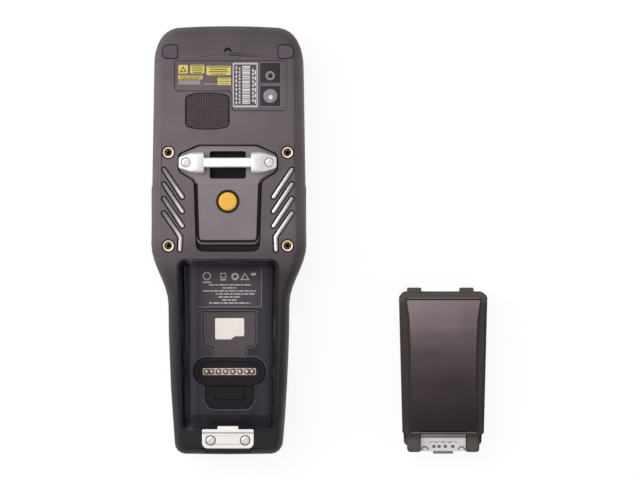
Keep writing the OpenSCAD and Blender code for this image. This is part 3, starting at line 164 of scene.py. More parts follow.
def limits(node: str) -> tuple[list[float], list[float]]:
    """The lowest and highest corner of a CAD node's box, in millimetres."""
    return tuple([v / MM for v in corner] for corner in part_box(node))


# ---- Finishes ----

class Wires:
    """A node tree to which each node is added in one call."""

    def __init__(self, tree: bpy.types.NodeTree) -> None:
        """Takes the tree."""
        self.tree = tree

    def feed(self, node: bpy.types.Node, inputs: dict[str | int, object]) -> None:
        """Links a node's inputs, or sets their values."""
        for key, source in inputs.items():
            if isinstance(source, Socket):
                self.tree.links.new(source, node.inputs[key])
            else:
                node.inputs[key].default_value = source

    def add(self, kind: str, inputs: dict[str | int, object] | None = None, **settings: object) -> bpy.types.Node:
        """Adds a node with its inputs and settings."""
        node = self.tree.nodes.new(kind)
        for key, value in settings.items():
            setattr(node, key, value)
        self.feed(node, inputs or {})
        return node

    def math(self, operation: str, *inputs: object) -> Socket:
        """Adds a Math node and gives its result."""
        return self.add("ShaderNodeMath", dict(enumerate(inputs)), operation=operation).outputs[0]

    def seen(self) -> Socket:
        """1 for what the camera sees, also in a gloss or through glass."""
        path = self.add("ShaderNodeLightPath").outputs
        glossy = self.math("MAXIMUM", path["Is Camera Ray"], path["Is Glossy Ray"])
        return self.math("MAXIMUM", glossy, path["Is Transmission Ray"])


class Relief(Enum):
    """The fine relief that a finish has."""

    NONE = "none"
    GRAIN = "grain"
    CAST = "cast"
    BRUSHED = "brushed"
    CLOTH = "cloth"


@dataclass(frozen=True)
class Finish:
    """A procedural finish on object coordinates.

    Args:
        name: The material's name.
        colour: Its colour as the eye reads it on a screen, each part up to 255.
        roughness: How matt it is.
        metallic: 1 for bare metal.
        relief: The kind of fine relief.
        grain: Size of that relief, in millimetres.
        depth: Height of that relief, in millimetres.
        cloud: Share by which the colour wanders.
        cloud_size: Size of that wandering, in millimetres.
        smudge: Share by which the roughness wanders.
        coat: Clear coat.
        specular: Level of plain gloss.
        painted_light_along: Painted light and shade: shares of the colour at places along the length, as (Y in
            millimetres, share).
        lean: Painted light and shade in the same way across the width, as (X in millimetres, share).
        slope_shade: Share by which a rounded edge is darker than the flats.
        sunk_shade: Share by which the recesses of the back are darker.
    """

    name: str
    colour: Colour
    roughness: float = 0.5
    metallic: float = 0.0
    relief: Relief = Relief.GRAIN
    grain: float = 0.35
    depth: float = 0.02
    cloud: float = 0.08
    cloud_size: float = 14.0
    smudge: float = 0.06
    coat: float = 0.0
    specular: float = 0.5
    painted_light_along: tuple[Point, ...] = ()
    lean: tuple[Point, ...] = ()
    slope_shade: float = 0.0
    sunk_shade: float = 0.0

    def make(self) -> bpy.types.Material:
        """Builds the material, or returns it if it is there already."""
        name = f"look_{self.name}"
        found = bpy.data.materials.get(name)
        if found:
            return found
        material = bpy.data.materials.new(name)
        material.use_nodes = True
        wires = Wires(material.node_tree)
        place = wires.add("ShaderNodeTexCoord").outputs["Object"]
        rough = wires.add("ShaderNodeMapRange", {
            "Value": self.noise(wires, place, self.cloud_size * 0.35, 4),
            "To Min": max(0.02, self.roughness - self.smudge), "To Max": min(1.0, self.roughness + self.smudge)})
        inputs = {"Base Color": self.colouring(wires, place), "Roughness": rough.outputs["Result"],
                  "Metallic": self.metallic, "Specular IOR Level": self.specular,
                  "Coat Weight": self.coat, "Coat Roughness": 0.08}
        if self.relief is not Relief.NONE:
            inputs["Normal"] = wires.add("ShaderNodeBump", {
                "Distance": self.depth * MM, "Strength": 0.8, "Height": self.height(wires, place)}).outputs["Normal"]
        wires.feed(wires.tree.nodes["Principled BSDF"], inputs)
        return material

    def noise(self, wires: Wires, place: Socket, size: float, detail: float = 3,
              stretch: Place = (1, 1, 1)) -> Socket:
        """A noise of that size in millimetres, stretched along the axes."""
        mapping = wires.add("ShaderNodeMapping", {"Vector": place, "Scale": stretch})
        return wires.add("ShaderNodeTexNoise", {"Vector": mapping.outputs["Vector"], "Scale": 1 / (size * MM),
                                                "Detail": detail}).outputs["Fac"]

    def colouring(self, wires: Wires, place: Socket) -> Socket:
        """The clouded base colour, with painted light and shade by place, slope and depth."""
        linear = [v / 255 / 12.92 if v <= 10 else ((v / 255 + 0.055) / 1.055) ** 2.4 for v in self.colour]
        ramp = wires.add("ShaderNodeValToRGB", {"Fac": self.noise(wires, place, self.cloud_size)})
        for element, at, share in zip(ramp.color_ramp.elements, (0.3, 0.7), (1 - self.cloud, 1 + self.cloud)):
            element.position = at
            element.color = (*(min(1, c * share) for c in linear), 1)
        parts = wires.add("ShaderNodeSeparateXYZ", {0: place}).outputs
        shares = [self.graded(wires, parts[axis], stops)
                  for axis, stops in (("X", self.lean), ("Y", self.painted_light_along)) if stops]
        if self.slope_shade:
            shares.append(self.on_slopes(wires))
        if self.sunk_shade:
            shares.append(self.in_recesses(wires, parts))
        out = ramp.outputs["Color"]
        for share in shares:
            out = wires.add("ShaderNodeVectorMath", {0: out, "Scale": share}, operation="SCALE").outputs["Vector"]
        return out

    def graded(self, wires: Wires, value: Socket, stops: Sequence[Point],
               unit: float = MM) -> Socket:
        """A share that changes smoothly through stops.

        Args:
            wires: The material's nodes.
            value: What the share depends on.
            stops: Pairs of a value and the share there.
            unit: Size of one unit of the stops' values.

        Returns:
            The share.
        """
        ordered = sorted(stops)
        first, last = ordered[0][0], ordered[-1][0]
        spread = wires.add("ShaderNodeMapRange", {"Value": value, "From Min": first * unit, "From Max": last * unit})
        ramp = wires.add("ShaderNodeValToRGB", {"Fac": spread.outputs["Result"]})
        ramp.color_ramp.interpolation = "EASE"
        elements = ramp.color_ramp.elements
        while len(elements) < len(ordered):
            elements.new(0.5)
        for element, (at, share) in zip(elements, ordered):
            element.position = (at - first) / (last - first)
            element.color = (share, share, share, 1)
        return ramp.outputs["Color"]

    def on_slopes(self, wires: Wires) -> Socket:
        """Painted shade: a share that is lower where a face leans out of the flat."""
        normal = wires.add("ShaderNodeNewGeometry").outputs["Normal"]
        upright = wires.add("ShaderNodeSeparateXYZ", {0: normal}).outputs["Z"]
        low = 1 - self.slope_shade
        return self.graded(wires, upright, ((0, 1), (0.55, 1), (0.8, low), (0.93, low), (0.975, 1), (1, 1)), 1)

    def in_recesses(self, wires: Wires, parts: bpy.types.NodeOutputs) -> Socket:
        """Painted shade: a share that is lower inside the recesses of the back, between the handle and the label."""
        share = self.graded(wires, parts["Z"], ((31.9, 1), (32.3, 0)))
        for axis, centre, reach in (("X", 0, 34), ("Y", 35, 42.5)):
            near = wires.math("COMPARE", parts[axis], centre * MM, reach * MM)
            share = wires.math("MULTIPLY", share, near)
        return wires.add("ShaderNodeMapRange", {"Value": share, "To Min": 1.0,
                                                "To Max": 1 - self.sunk_shade}).outputs["Result"]

    def height(self, wires: Wires, place: Socket) -> Socket:
        """The relief's height."""
        if self.relief is Relief.CLOTH:
            cells = wires.add("ShaderNodeTexVoronoi", {"Vector": place, "Scale": 1 / (self.grain * MM)})
            return cells.outputs["Distance"]
        stretch = (0.04, 1, 1) if self.relief is Relief.BRUSHED else (1, 1, 1)
        return self.noise(wires, place, self.grain, 6 if self.relief is Relief.CAST else 2, stretch)


def smooth(name: str, colour: Colour, roughness: float = 0.5, specular: float = 0.2, **more: object) -> Finish:
    """A finish without relief."""
    return Finish(name, colour, roughness, specular=specular, relief=Relief.NONE, **more)


def brushed(name: str, colour: Colour, roughness: float, metallic: float, grain: float = 0.2,
            depth: float = 0.003, **more: object) -> Finish:
    """A brushed metal."""
    return Finish(name, colour, roughness, metallic, Relief.BRUSHED, grain, depth, **more)


def foil(name: str, colour: Colour, roughness: float = 0.4, grain: float = 3, depth: float = 0.008,
         cloud: float = 0.06, **more: object) -> Finish:
    """The slightly uneven face of a sticker."""
    return Finish(name, colour, roughness, relief=Relief.CAST, grain=grain, depth=depth, cloud=cloud,
                  specular=0.2, **more)


class Look:
    """The finishes of this object, by the part that has them."""

    # Painted light and shade: brighter on the head and towards the left, much darker down the handle and towards the
    # right; painted shade also darkens rounded edges and the back's recesses.
    housing = Finish(
        "moulded_grey", (112, 101, 107), 0.55, grain=0.3, specular=0.22, slope_shade=0.12, sunk_shade=0.95,
        lean=((-39, 0.85), (-34, 1.06), (0, 1.0), (30, 0.9), (39, 0.76)),
        painted_light_along=((110, 0.62), (100, 0.64), (88, 0.86), (70, 1.0), (5, 0.98), (-8, 0.62), (-20, 0.3), (-45, 0.2),
              (-70, 0.13), (-105, 0.1)))
    front = Finish("moulded_black", (40, 38, 40), grain=0.3, specular=0.3)
    gasket = Finish("gasket_black", (20, 20, 20), 0.7, specular=0.2)
    lens = smooth("lens_black", (10, 10, 12), 0.08, 0.5, coat=0.6, smudge=0.03)
    picture = smooth("display_dark", (20, 23, 28), 0.12, 0.5, coat=0.4)
    panel = brushed("panel_metal", (90, 94, 100), 0.4, 0.8, 0.35, 0.02)
    mat = Finish("silicone_milky", (190, 190, 184), 0.6)
    board = Finish("board_green", (28, 84, 52), 0.4, relief=Relief.CAST, grain=1.5, depth=0.04)
    module = Finish("module_black", (36, 36, 38), 0.45)
    red_glass = smooth("scan_glass", (46, 6, 10), 0.06, 0.5, coat=0.8, smudge=0.02)
    window = smooth("window_glass", (64, 57, 63), 0.5, 0.1, smudge=0.03)
    ring = smooth("lens_ring", (150, 148, 153), 0.4, 0.3)
    disc = smooth("lens_disc", (146, 140, 148), 0.35, 0.3, cloud=0.15, cloud_size=3)
    eye = smooth("lens_eye", (30, 28, 34), 0.15, 0.3, smudge=0.02)
    light = smooth("flash_white", (240, 238, 236), 0.3, 0.5)
    # Pale strips that paint highlights along the panes' gaps and the pack panel's edges.
    edge_highlight = smooth("pane_trim", (132, 124, 130), 0.5, 0.3)
    wire = smooth("mesh_wire", (108, 95, 101), 0.5, 0.3)
    shadow = smooth("shadow_dark", (30, 24, 28), 0.6, 0.08)
    felt = Finish("felt_black", (76, 66, 70), 0.9, relief=Relief.CLOTH, grain=0.4, depth=0.05, specular=0.1)
    # Painted shade: the plate darkens slightly towards its lower end.
    plate = Finish("plate_grey", (143, 132, 139), grain=0.25, depth=0.015, specular=0.25,
                   painted_light_along=((30, 1.0), (5, 0.94), (0, 0.9)))
    bright = brushed("bright_steel", (255, 255, 254), 0.3, 0.6, cloud=0.01)
    cast = Finish("cast_bright", (236, 233, 235), 0.36, 0.35, Relief.CAST, 0.6, 0.008, cloud=0.03)
    screw = brushed("screw_steel", (226, 222, 220), 0.32, 0.6)
    strike = brushed("strike_steel", (246, 243, 241), 0.36, 0.5, 0.15, cloud=0.02)
    crease = smooth("crease_grey", (122, 114, 110), 0.6)
    gloss = smooth("gloss_black", (40, 20, 10), 0.35, coat=0.1)
    orange = Finish("orange_button", (255, 197, 78), 0.4, grain=0.4, depth=0.008, cloud=0.04, specular=0.3)
    # Painted reflection and shade: the inlays are darkest at the far left and dimmer at the far right.
    inlay = smooth("gill_silver", (232, 224, 232), 0.3, 0.5, metallic=0.7, cloud=0.05,
                   lean=((-33, 0.18), (-28, 0.34), (-24, 0.75), (-22, 1.0), (22, 1.0), (24, 0.95), (28, 0.7),
                         (33, 0.45)))
    brass = brushed("brass", (240, 222, 190), 0.34, 0.5, depth=0.004, cloud=0.1, cloud_size=3)
    rubber = Finish("pad_rubber", (99, 88, 96), 0.75, grain=0.5, depth=0.03, specular=0.2)
    # Painted reflections and shade: a bright band near the left wall, a lighter band towards the right, dark edges
    # and darker ends.
    bay = Finish("gloss_bay", (70, 64, 77), 0.24, grain=2.2, depth=0.008, cloud_size=20, specular=0.22,
                 lean=((-25, 0.2), (-21.8, 0.25), (-21, 0.7), (-19.2, 2.6), (-16, 1.3), (-6, 0.8), (12, 0.65),
                       (17, 1.0), (20, 0.7), (21.5, 0.3), (25, 0.2)),
                 painted_light_along=((-10, 0.5), (-15, 1.1), (-60, 0.95), (-75, 0.9), (-90, 0.95), (-92, 0.5), (-98, 0.4)))
    bay_label = foil("bay_label_dark", (94, 85, 93), 0.45)
    door = Finish("door_grey", (98, 88, 91), grain=0.3, depth=0.015, specular=0.25)
    card = Finish("card_pale", (240, 230, 226), 0.38, 0.65, grain=0.3, depth=0.004, cloud=0.03, specular=0.3)
    strip = Finish("contact_pale", (214, 198, 208), 0.45, 0.3, grain=0.4, depth=0.008, specular=0.3)
    gold = smooth("gold_contact", (206, 182, 132), 0.3, 0.5, metallic=0.8, cloud=0.1, cloud_size=2)
    collar = smooth("collar_dark", (60, 40, 36))
    seal = Finish("seal_rubber", (38, 34, 39), 0.45, grain=0.5, depth=0.012, specular=0.15)
    rim = smooth("rim_grey", (120, 114, 124), 0.4, 0.3)
    # Painted light: the case is brighter near its upper and lower ends than in the middle.
    pack = Finish("pack_black", (71, 65, 63), 0.55, specular=0.05,
                  painted_light_along=((-24, 1.9), (-30, 1.6), (-33.5, 1.0), (-90, 0.8), (-99, 0.9), (-103, 1.8)))
    # Painted light and shade: the panel goes from light at its upper end to dark at its lower end, a little lighter
    # on its left.
    panel_skin = Finish("pack_panel", (142, 124, 127), 0.4, grain=3.0, depth=0.01, specular=0.1,
                        painted_light_along=((-31, 1.0), (-42, 0.78), (-50, 0.52), (-60, 0.34), (-75, 0.19), (-97, 0.1)),
                        lean=((91, 1.1), (110, 1.0), (129, 0.92)))
    latch = Finish("latch_pale", (238, 231, 236), 0.4, relief=Relief.CAST, grain=0.6, depth=0.006, specular=0.3)
    roll = brushed("roll_grey", (128, 121, 122), 0.45, 0.0, 0.3, 0.01, specular=0.3)
    mark = smooth("mark_grey", (104, 94, 98), 0.6)
    cell = smooth("cell_blue", (70, 110, 150), 0.35, 0.5)
    key = Finish("key_grey", (74, 74, 78), 0.55, grain=0.3, depth=0.015)
    red = Finish("key_red", (168, 52, 44), grain=0.3, depth=0.015)
    blue = Finish("key_blue", (50, 100, 168), grain=0.3, depth=0.015)
    ink = smooth("ink_dark", (84, 72, 50))
    print_white = smooth("print_white", (226, 222, 222), cloud=0.03)
    # Grey print, also used to paint the highlight on the bay label's edges.
    print_grey = smooth("print_grey", (158, 150, 154), cloud=0.06)
    yellow = foil("sticker_yellow", (226, 208, 112), grain=2.5, depth=0.01, cloud_size=6)
    label = foil("label_dark", (92, 82, 90))
    label_pale = foil("label_pale", (206, 196, 206), cloud=0.04)


# ---- Putting pieces on the frame ----

def linked(name: str, mesh: bpy.types.Mesh, crisp: float | None = None) -> Object:
    """Puts a mesh into the scene under that name.

    Args:
        name: The object's name.
        mesh: Its mesh.
        crisp: Edges sharper than this, in degrees, stay crisp while the rest is smooth.

    Returns:
        The object.
    """
    obj = bpy.data.objects.new(name, mesh)
    bpy.context.scene.collection.objects.link(obj)
    if crisp is not None:
        mesh.shade_smooth()
        mesh.set_sharp_from_angle(angle=math.radians(crisp))
    return obj


def settled(obj: Object) -> Object:
    """Turns an object into the plain mesh that it and its modifiers give, under the same name."""
    graph = bpy.context.evaluated_depsgraph_get()
    mesh = bpy.data.meshes.new_from_object(obj.evaluated_get(graph), preserve_all_data_layers=True, depsgraph=graph)
    name = obj.name
    bpy.data.objects.remove(obj)
    return linked(name, mesh)


def settle(piece: Object, finish: Finish, slot_name: str, *nodes: str,
           body: str = TERMINAL) -> Object:
    """Gives a piece its finish and its body, and hides the nodes it stands for.

    Args:
        piece: The object.
        finish: Its finish.
        slot_name: The record's material slot; not used.
        nodes: The CAD nodes it replaces.
        body: The CAD body it rides on.

    Returns:
        The piece.
    """
    piece.data.materials.clear()
    piece.data.materials.append(finish.make())
    for polygon in piece.data.polygons:
        polygon.material_index = 0
    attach(piece, body)
    if nodes:
        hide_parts(*nodes)
    log.info("%s rides on %s, %d faces", piece.name, body, len(piece.data.polygons))
    return piece


def repaint(finish: Finish, *nodes: str) -> None:
    """Gives CAD nodes that stay their finish."""
    for node in nodes:
        materials = frame["nodes"][node].data.materials
        materials.clear()
        materials.append(finish.make())


def dress(node: str, finish: Finish, slot_name: str, edge: float, crease: float = 30, body: str = TERMINAL,
          broad: bool = False) -> Object:
    """Replaces a CAD node by a merged copy of its shape with slightly rounded edges.

    Args:
        node: The CAD node.
        finish: Its finish.
        slot_name: The record's material slot.
        edge: Radius of its edges.
        crease: Edges sharper than this, in degrees, are rounded.
        body: The CAD body it rides on.
        broad: Whether its broad, nearly flat faces are merged and lead the shading.

    Returns:
        The piece.
    """
    merge, weight = (1.5, 100) if broad else (0.3, 50)
    bm = bmesh.new()
    bm.from_mesh(frame["nodes"][node].data)
    bmesh.ops.remove_doubles(bm, verts=bm.verts, dist=2e-6)
    bmesh.ops.dissolve_limit(bm, angle_limit=math.radians(merge), use_dissolve_boundaries=False,
                             verts=bm.verts, edges=bm.edges)
    bmesh.ops.triangulate(bm, faces=bm.faces, quad_method="BEAUTY", ngon_method="BEAUTY")
    mesh = bpy.data.meshes.new(node)
    bm.to_mesh(mesh)
    bm.free()
    obj = linked(f"{node}.dressed", mesh, 80)
    bevel = obj.modifiers.new("edges", "BEVEL")
    bevel.width, bevel.segments, bevel.use_clamp_overlap = edge * MM, 2, False
    bevel.limit_method, bevel.angle_limit = "ANGLE", math.radians(crease)
    normals = obj.modifiers.new("normals", "WEIGHTED_NORMAL")
    normals.keep_sharp, normals.weight = True, weight
    return settle(settled(obj), finish, slot_name, node, body=body)


# ---- Mesh building ----

class Sculptor:
    """Gathers closed shapes, in millimetres, into one mesh."""

    def __init__(self) -> None:
        """Starts with nothing."""
        self.verts: list[Place] = []
        self.faces: list[tuple[int, ...]] = []

    def rings(self, rings: Sequence[Sequence[Sequence[float]]], caps: bool = True) -> "Sculptor":
        """Skins a row of equal rings.

        Args:
            rings: Rings of points, each with the same count.
            caps: Whether the first and last rings are closed; the last joins the first if not.

        Returns:
            This sculptor.
        """
        base, count = len(self.verts), len(rings[0])
        for ring in rings:
            self.verts += [tuple(p) for p in ring]
        for k in range(len(rings) - 1 if caps else len(rings)):
            a, b = base + k * count, base + (k + 1) % len(rings) * count
            self.faces += [(a + i, a + j, b + j, b + i) for i, j in ((i, (i + 1) % count) for i in range(count))]
        if caps:
            last = base + (len(rings) - 1) * count
            self.faces.append(tuple(base + i for i in reversed(range(count))))
            self.faces.append(tuple(last + i for i in range(count)))
        return self

    def prism(self, outline: Sequence[Point], low: float, high: float, chamfer: float = 0.0,
              steps: int = 2) -> "Sculptor":
        """An upright prism.

        Args:
            outline: Its plan.
            low: Height of its underside.
            high: Height of its top.
            chamfer: Radius of the upper edge.
            steps: Parts that the rounded edge has.

        Returns:
            This sculptor.
        """
        levels = [(low, 0.0)]
        for a in (math.pi / 2 * k / steps for k in range(steps + 1 if chamfer else 1)):
            levels.append((high - chamfer * (1 - math.sin(a)), chamfer * (1 - math.cos(a))))
        return self.rings([[(x, y, z) for x, y in (inset(outline, d) if d else outline)] for z, d in levels])

    def wall(self, outline: Sequence[Point], width: float, low: float, high: float) -> "Sculptor":
        """An upright wall that runs along the inside of an outline."""
        inner = inset(outline, width)
        return self.rings([[(x, y, z) for x, y in side] for side, z in
                           ((outline, low), (outline, high), (inner, high), (inner, low))], caps=False)

    def ribbon(self, path: Sequence[Point], width: float, low: float, high: float) -> "Sculptor":
        """A flat strip along an open path."""
        line, rings = [Vector(p) for p in path], []
        for i, p in enumerate(line):
            way = (line[min(i + 1, len(line) - 1)] - line[max(i - 1, 0)]).normalized()
            side = Vector((-way.y, way.x)) * width / 2
            rings.append([(q.x, q.y, z) for q, z in ((p - side, low), (p - side, high),
                                                     (p + side, high), (p + side, low))])
        return self.rings(rings)

    def revolve(self, profile: Sequence[Point], at: Sequence[float] = (0, 0, 0), steps: int = 48,
                warp: Callable[[float, int], float] = lambda angle, index: 1) -> "Sculptor":
        """A solid of revolution round an upright axis.

        Args:
            profile: Points (radius, height) from the axis at one end to the axis or hole at the other.
            at: Where the axis stands, and the height that counts as 0.
            steps: Parts round the axis.
            warp: Share of the radius by the angle and the profile's index, for sockets and lobes.

        Returns:
            This sculptor.
        """
        turns = [2 * math.pi * i / steps for i in range(steps)]
        rings = []
        for k, (r, z) in enumerate(profile):
            reach = [warp(a, k) * max(r, 1e-4) for a in turns]
            rings.append([(at[0] + q * math.cos(a), at[1] + q * math.sin(a), at[2] + z)
                          for a, q in zip(turns, reach)])
        return self.rings(rings, caps=profile[0][0] == 0)

    def slanted(self, height: Callable[[float], float]) -> "Sculptor":
        """Lifts every point by a height that depends on its Y."""
        self.verts = [(x, y, z + height(y)) for x, y, z in self.verts]
        return self

    def build(self, name: str, crisp: float = 32) -> Object:
        """Makes the object.

        Args:
            name: The piece's name.
            crisp: Edges sharper than this, in degrees, stay crisp.

        Returns:
            The object, linked to the scene.
        """
        bm = bmesh.new()
        points = [bm.verts.new(Vector(v) * MM) for v in self.verts]
        for face in self.faces:
            bm.faces.new([points[i] for i in face])
        bmesh.ops.remove_doubles(bm, verts=bm.verts, dist=2e-6)
        bmesh.ops.recalc_face_normals(bm, faces=bm.faces)
        mesh = bpy.data.meshes.new(name)
        bm.to_mesh(mesh)
        bm.free()
        return linked(name, mesh, crisp)

    def piece(self, name: str, finish: Finish, slot_name: str, *nodes: str, body: str = TERMINAL) -> None:
        """Makes the object and settles it."""
        settle(self.build(name), finish, slot_name, *nodes, body=body)


# ---- Geometry Nodes trees ----

@dataclass(frozen=True)
class Spot:
    """Where a copy goes: its place in millimetres, its size and its turn in radians."""

    at: Sequence[float]
    size: Place = (1, 1, 1)
    turn: Place = (0, 0, 0)


class Tree(Wires):
    """A Geometry Nodes tree that is built line by line."""

    def __init__(self, name: str, inputs: dict[str, str]) -> None:
        """Makes the tree.

        Args:
            name: Its name.
            inputs: Socket kinds by input name, after the geometry.
        """
        super().__init__(bpy.data.node_groups.new(name, "GeometryNodeTree"))
        face = self.tree.interface
        face.new_socket(name="Geometry", in_out="INPUT", socket_type="NodeSocketGeometry")
        self.ids = {key: face.new_socket(name=key, in_out="INPUT", socket_type=kind).identifier
                    for key, kind in (*inputs.items(), ("Material", "NodeSocketMaterial"))}
        face.new_socket(name="Geometry", in_out="OUTPUT", socket_type="NodeSocketGeometry")
        self.given = self.add("NodeGroupInput").outputs

    def attribute(self, name: str) -> Socket:
        """A named vector attribute's value."""
        node = self.add("GeometryNodeInputNamedAttribute", {"Name": name}, data_type="FLOAT_VECTOR")
        return node.outputs["Attribute"]

    def close(self, geometry: Socket) -> None:
        """Ends the tree in Realize Instances and Set Material."""
        real = self.add("GeometryNodeRealizeInstances", {"Geometry": geometry})
        dressed = self.add("GeometryNodeSetMaterial", {"Geometry": real.outputs[0],
                                                       "Material": self.given["Material"]})
        self.add("NodeGroupOutput", {0: dressed.outputs[0]})

    def run(self, base: Object, finish: Finish, **inputs: object) -> Object:
        """Runs the tree on an object and keeps the result as a plain mesh.

        Args:
            base: The object whose mesh is the tree's geometry.
            finish: The finish that the tree sets.
            inputs: Values by input name.

        Returns:
            The finished object.
        """
        modifier = base.modifiers.new("tree", "NODES")
        modifier.node_group = self.tree
        for key, value in (*inputs.items(), ("Material", finish.make())):
            modifier[self.ids[key]] = value
        obj = settled(base)
        obj.data.shade_smooth()
        obj.data.set_sharp_from_angle(angle=math.radians(35))
        return obj


class CopiesTree(Tree):
    """Copies a shape to points, each with its own turn and size."""

    def __init__(self) -> None:
        """Builds the tree."""
        super().__init__("copies", {"Shape": "NodeSocketObject", "Scale": "NodeSocketFloat"})
        shape = self.add("GeometryNodeObjectInfo", {"Object": self.given["Shape"]})
        turn = self.add("FunctionNodeEulerToRotation", {0: self.attribute("turn")})
        size = self.add("ShaderNodeVectorMath", {0: self.attribute("size"), "Scale": self.given["Scale"]},
                        operation="SCALE")
        copies = self.add("GeometryNodeInstanceOnPoints", {
            "Points": self.given["Geometry"], "Instance": shape.outputs["Geometry"],
            "Rotation": turn.outputs[0], "Scale": size.outputs[0]})
        self.close(copies.outputs[0])

    def place(self, name: str, shape: Object, finish: Finish, slot_name: str, spots: Sequence[Spot],
              *nodes: str, body: str = TERMINAL) -> None:
        """Places copies of a shape, which is removed afterwards, and settles the piece.

        Args:
            name: The new piece's name.
            shape: What is copied, built round the origin.
            finish: Its finish.
            slot_name: The record's material slot.
            spots: Where the copies go.
            nodes: The CAD nodes it replaces.
            body: The CAD body it rides on.
        """
        mesh = bpy.data.meshes.new(name)
        mesh.from_pydata([Vector(spot.at) * MM for spot in spots], [], [])
        for key in ("turn", "size"):
            layer = mesh.attributes.new(key, "FLOAT_VECTOR", "POINT")
            layer.data.foreach_set("vector", [float(v) for spot in spots for v in getattr(spot, key)])
        obj = self.run(linked(name, mesh), finish, Shape=shape, Scale=1.0)
        bpy.data.objects.remove(shape)
        settle(obj, finish, slot_name, *nodes, body=body)

    def bars(self, name: str, finish: Finish, slot_name: str, z: float, bars: Sequence[Patch],
             low: float, high: float) -> None:
        """Places flat bars.

        Args:
            name: The new piece's name.
            finish: Its finish.
            slot_name: The record's material slot.
            z: The height they lie at.
            bars: Middle X, middle Y, width and length of each.
            low: Their underside, counted from that height.
            high: Their top, counted from that height.
        """
        shape = Sculptor().prism(rect(1, 1), low, high).build("bar_shape")
        self.place(name, shape, finish, slot_name, [Spot((x, y, z), (w, l, 1)) for x, y, w, l in bars])


class SweepTree(Tree):
    """Sweeps a round or flattened profile along every path of a mesh."""

    def __init__(self) -> None:
        """Builds the tree."""
        super().__init__("sweep", {"Radius": "NodeSocketFloat", "Flatness": "NodeSocketFloat",
                                   "Sides": "NodeSocketInt"})
        path = self.add("GeometryNodeMeshToCurve", {"Mesh": self.given["Geometry"]})
        ring = self.add("GeometryNodeCurvePrimitiveCircle", {"Resolution": self.given["Sides"],
                                                             "Radius": self.given["Radius"]})
        scale = self.add("ShaderNodeCombineXYZ", {"X": 1.0, "Y": self.given["Flatness"], "Z": 1.0})
        flat = self.add("GeometryNodeTransform", {"Geometry": ring.outputs[0], "Scale": scale.outputs[0]})
        tube = self.add("GeometryNodeCurveToMesh", {"Curve": path.outputs[0], "Profile Curve": flat.outputs[0],
                                                    "Fill Caps": True})
        self.close(tube.outputs[0])

    def along(self, name: str, paths: Sequence[Sequence[Sequence[float]]], radius: float, finish: Finish,
              slot_name: str, *nodes: str, flatness: float = 1.0, sides: int = 8, closed: bool = False,
              body: str = TERMINAL) -> None:
        """Sweeps along paths and settles the piece.

        Args:
            name: The new piece's name.
            paths: Rows of points in millimetres.
            radius: Radius of the profile.
            finish: Its finish.
            slot_name: The record's material slot.
            nodes: The CAD nodes it replaces.
            flatness: Height of the profile as a share of its width.
            sides: Corners of the profile.
            closed: Whether each path joins its own start.
            body: The CAD body it rides on.
        """
        verts: list[Vector] = []
        edges: list[tuple[int, int]] = []
        for path in paths:
            base = len(verts)
            verts += [Vector(p) * MM for p in path]
            edges += [(base + i, base + i + 1) for i in range(len(path) - 1)]
            if closed:
                edges.append((base + len(path) - 1, base))
        mesh = bpy.data.meshes.new(name)
        mesh.from_pydata(verts, edges, [])
        obj = self.run(linked(name, mesh), finish, Radius=radius * MM, Flatness=flatness, Sides=sides)
        settle(obj, finish, slot_name, *nodes, body=body)


COPIES = CopiesTree()
SWEEP = SweepTree()


# ---- Sub-assemblies ----

class Assembly:
    """A sub-assembly that builds and dresses its pieces."""

    def build(self) -> None:
        """Makes every piece of the sub-assembly."""
        raise NotImplementedError


@dataclass
class Housings(Assembly):
    """The two housings with what is moulded into them."""

    back_z: float = 33.0
    port_at: Point = (0.0, 95.0)
    port_r: float = 1.85

    def build(self) -> None:
        """Makes both housings, the gasket and the microphone guard."""
        dress("rear_housing", Look.housing, "housing_grey", 0.22, broad=True)
        dress("front_housing", Look.front, "housing_black", 0.22)
        repaint(Look.gasket, "housing_gasket")
        self.guard()

    def guard(self) -> None:
        """The guard that leaves a crescent of the microphone port open, over a dark disc of painted shade."""
        x, y = self.port_at
        top = [(0.95, 0.15), (0.45, 0.35), (0.45, 0.75), (-0.45, 0.75), (-0.45, 0.35), (-0.95, 0.15)]
        outline = arc(self.port_at, self.port_r - 0.03, 190, 350, 16) + [(x + dx, y + dy) for dx, dy in top]
        guard = Sculptor().prism(outline, self.back_z - 1.15, self.back_z - 0.12, 0.15)
        guard.piece("microphone_guard", Look.housing, "housing_grey")
        # A dark disc deep in the port paints the shade inside the hole.
        floor = Sculptor().prism(circle(self.port_r - 0.05, self.port_at), self.back_z - 0.9, self.back_z - 0.7)
        floor.piece("microphone_port", Look.shadow, "housing_black")


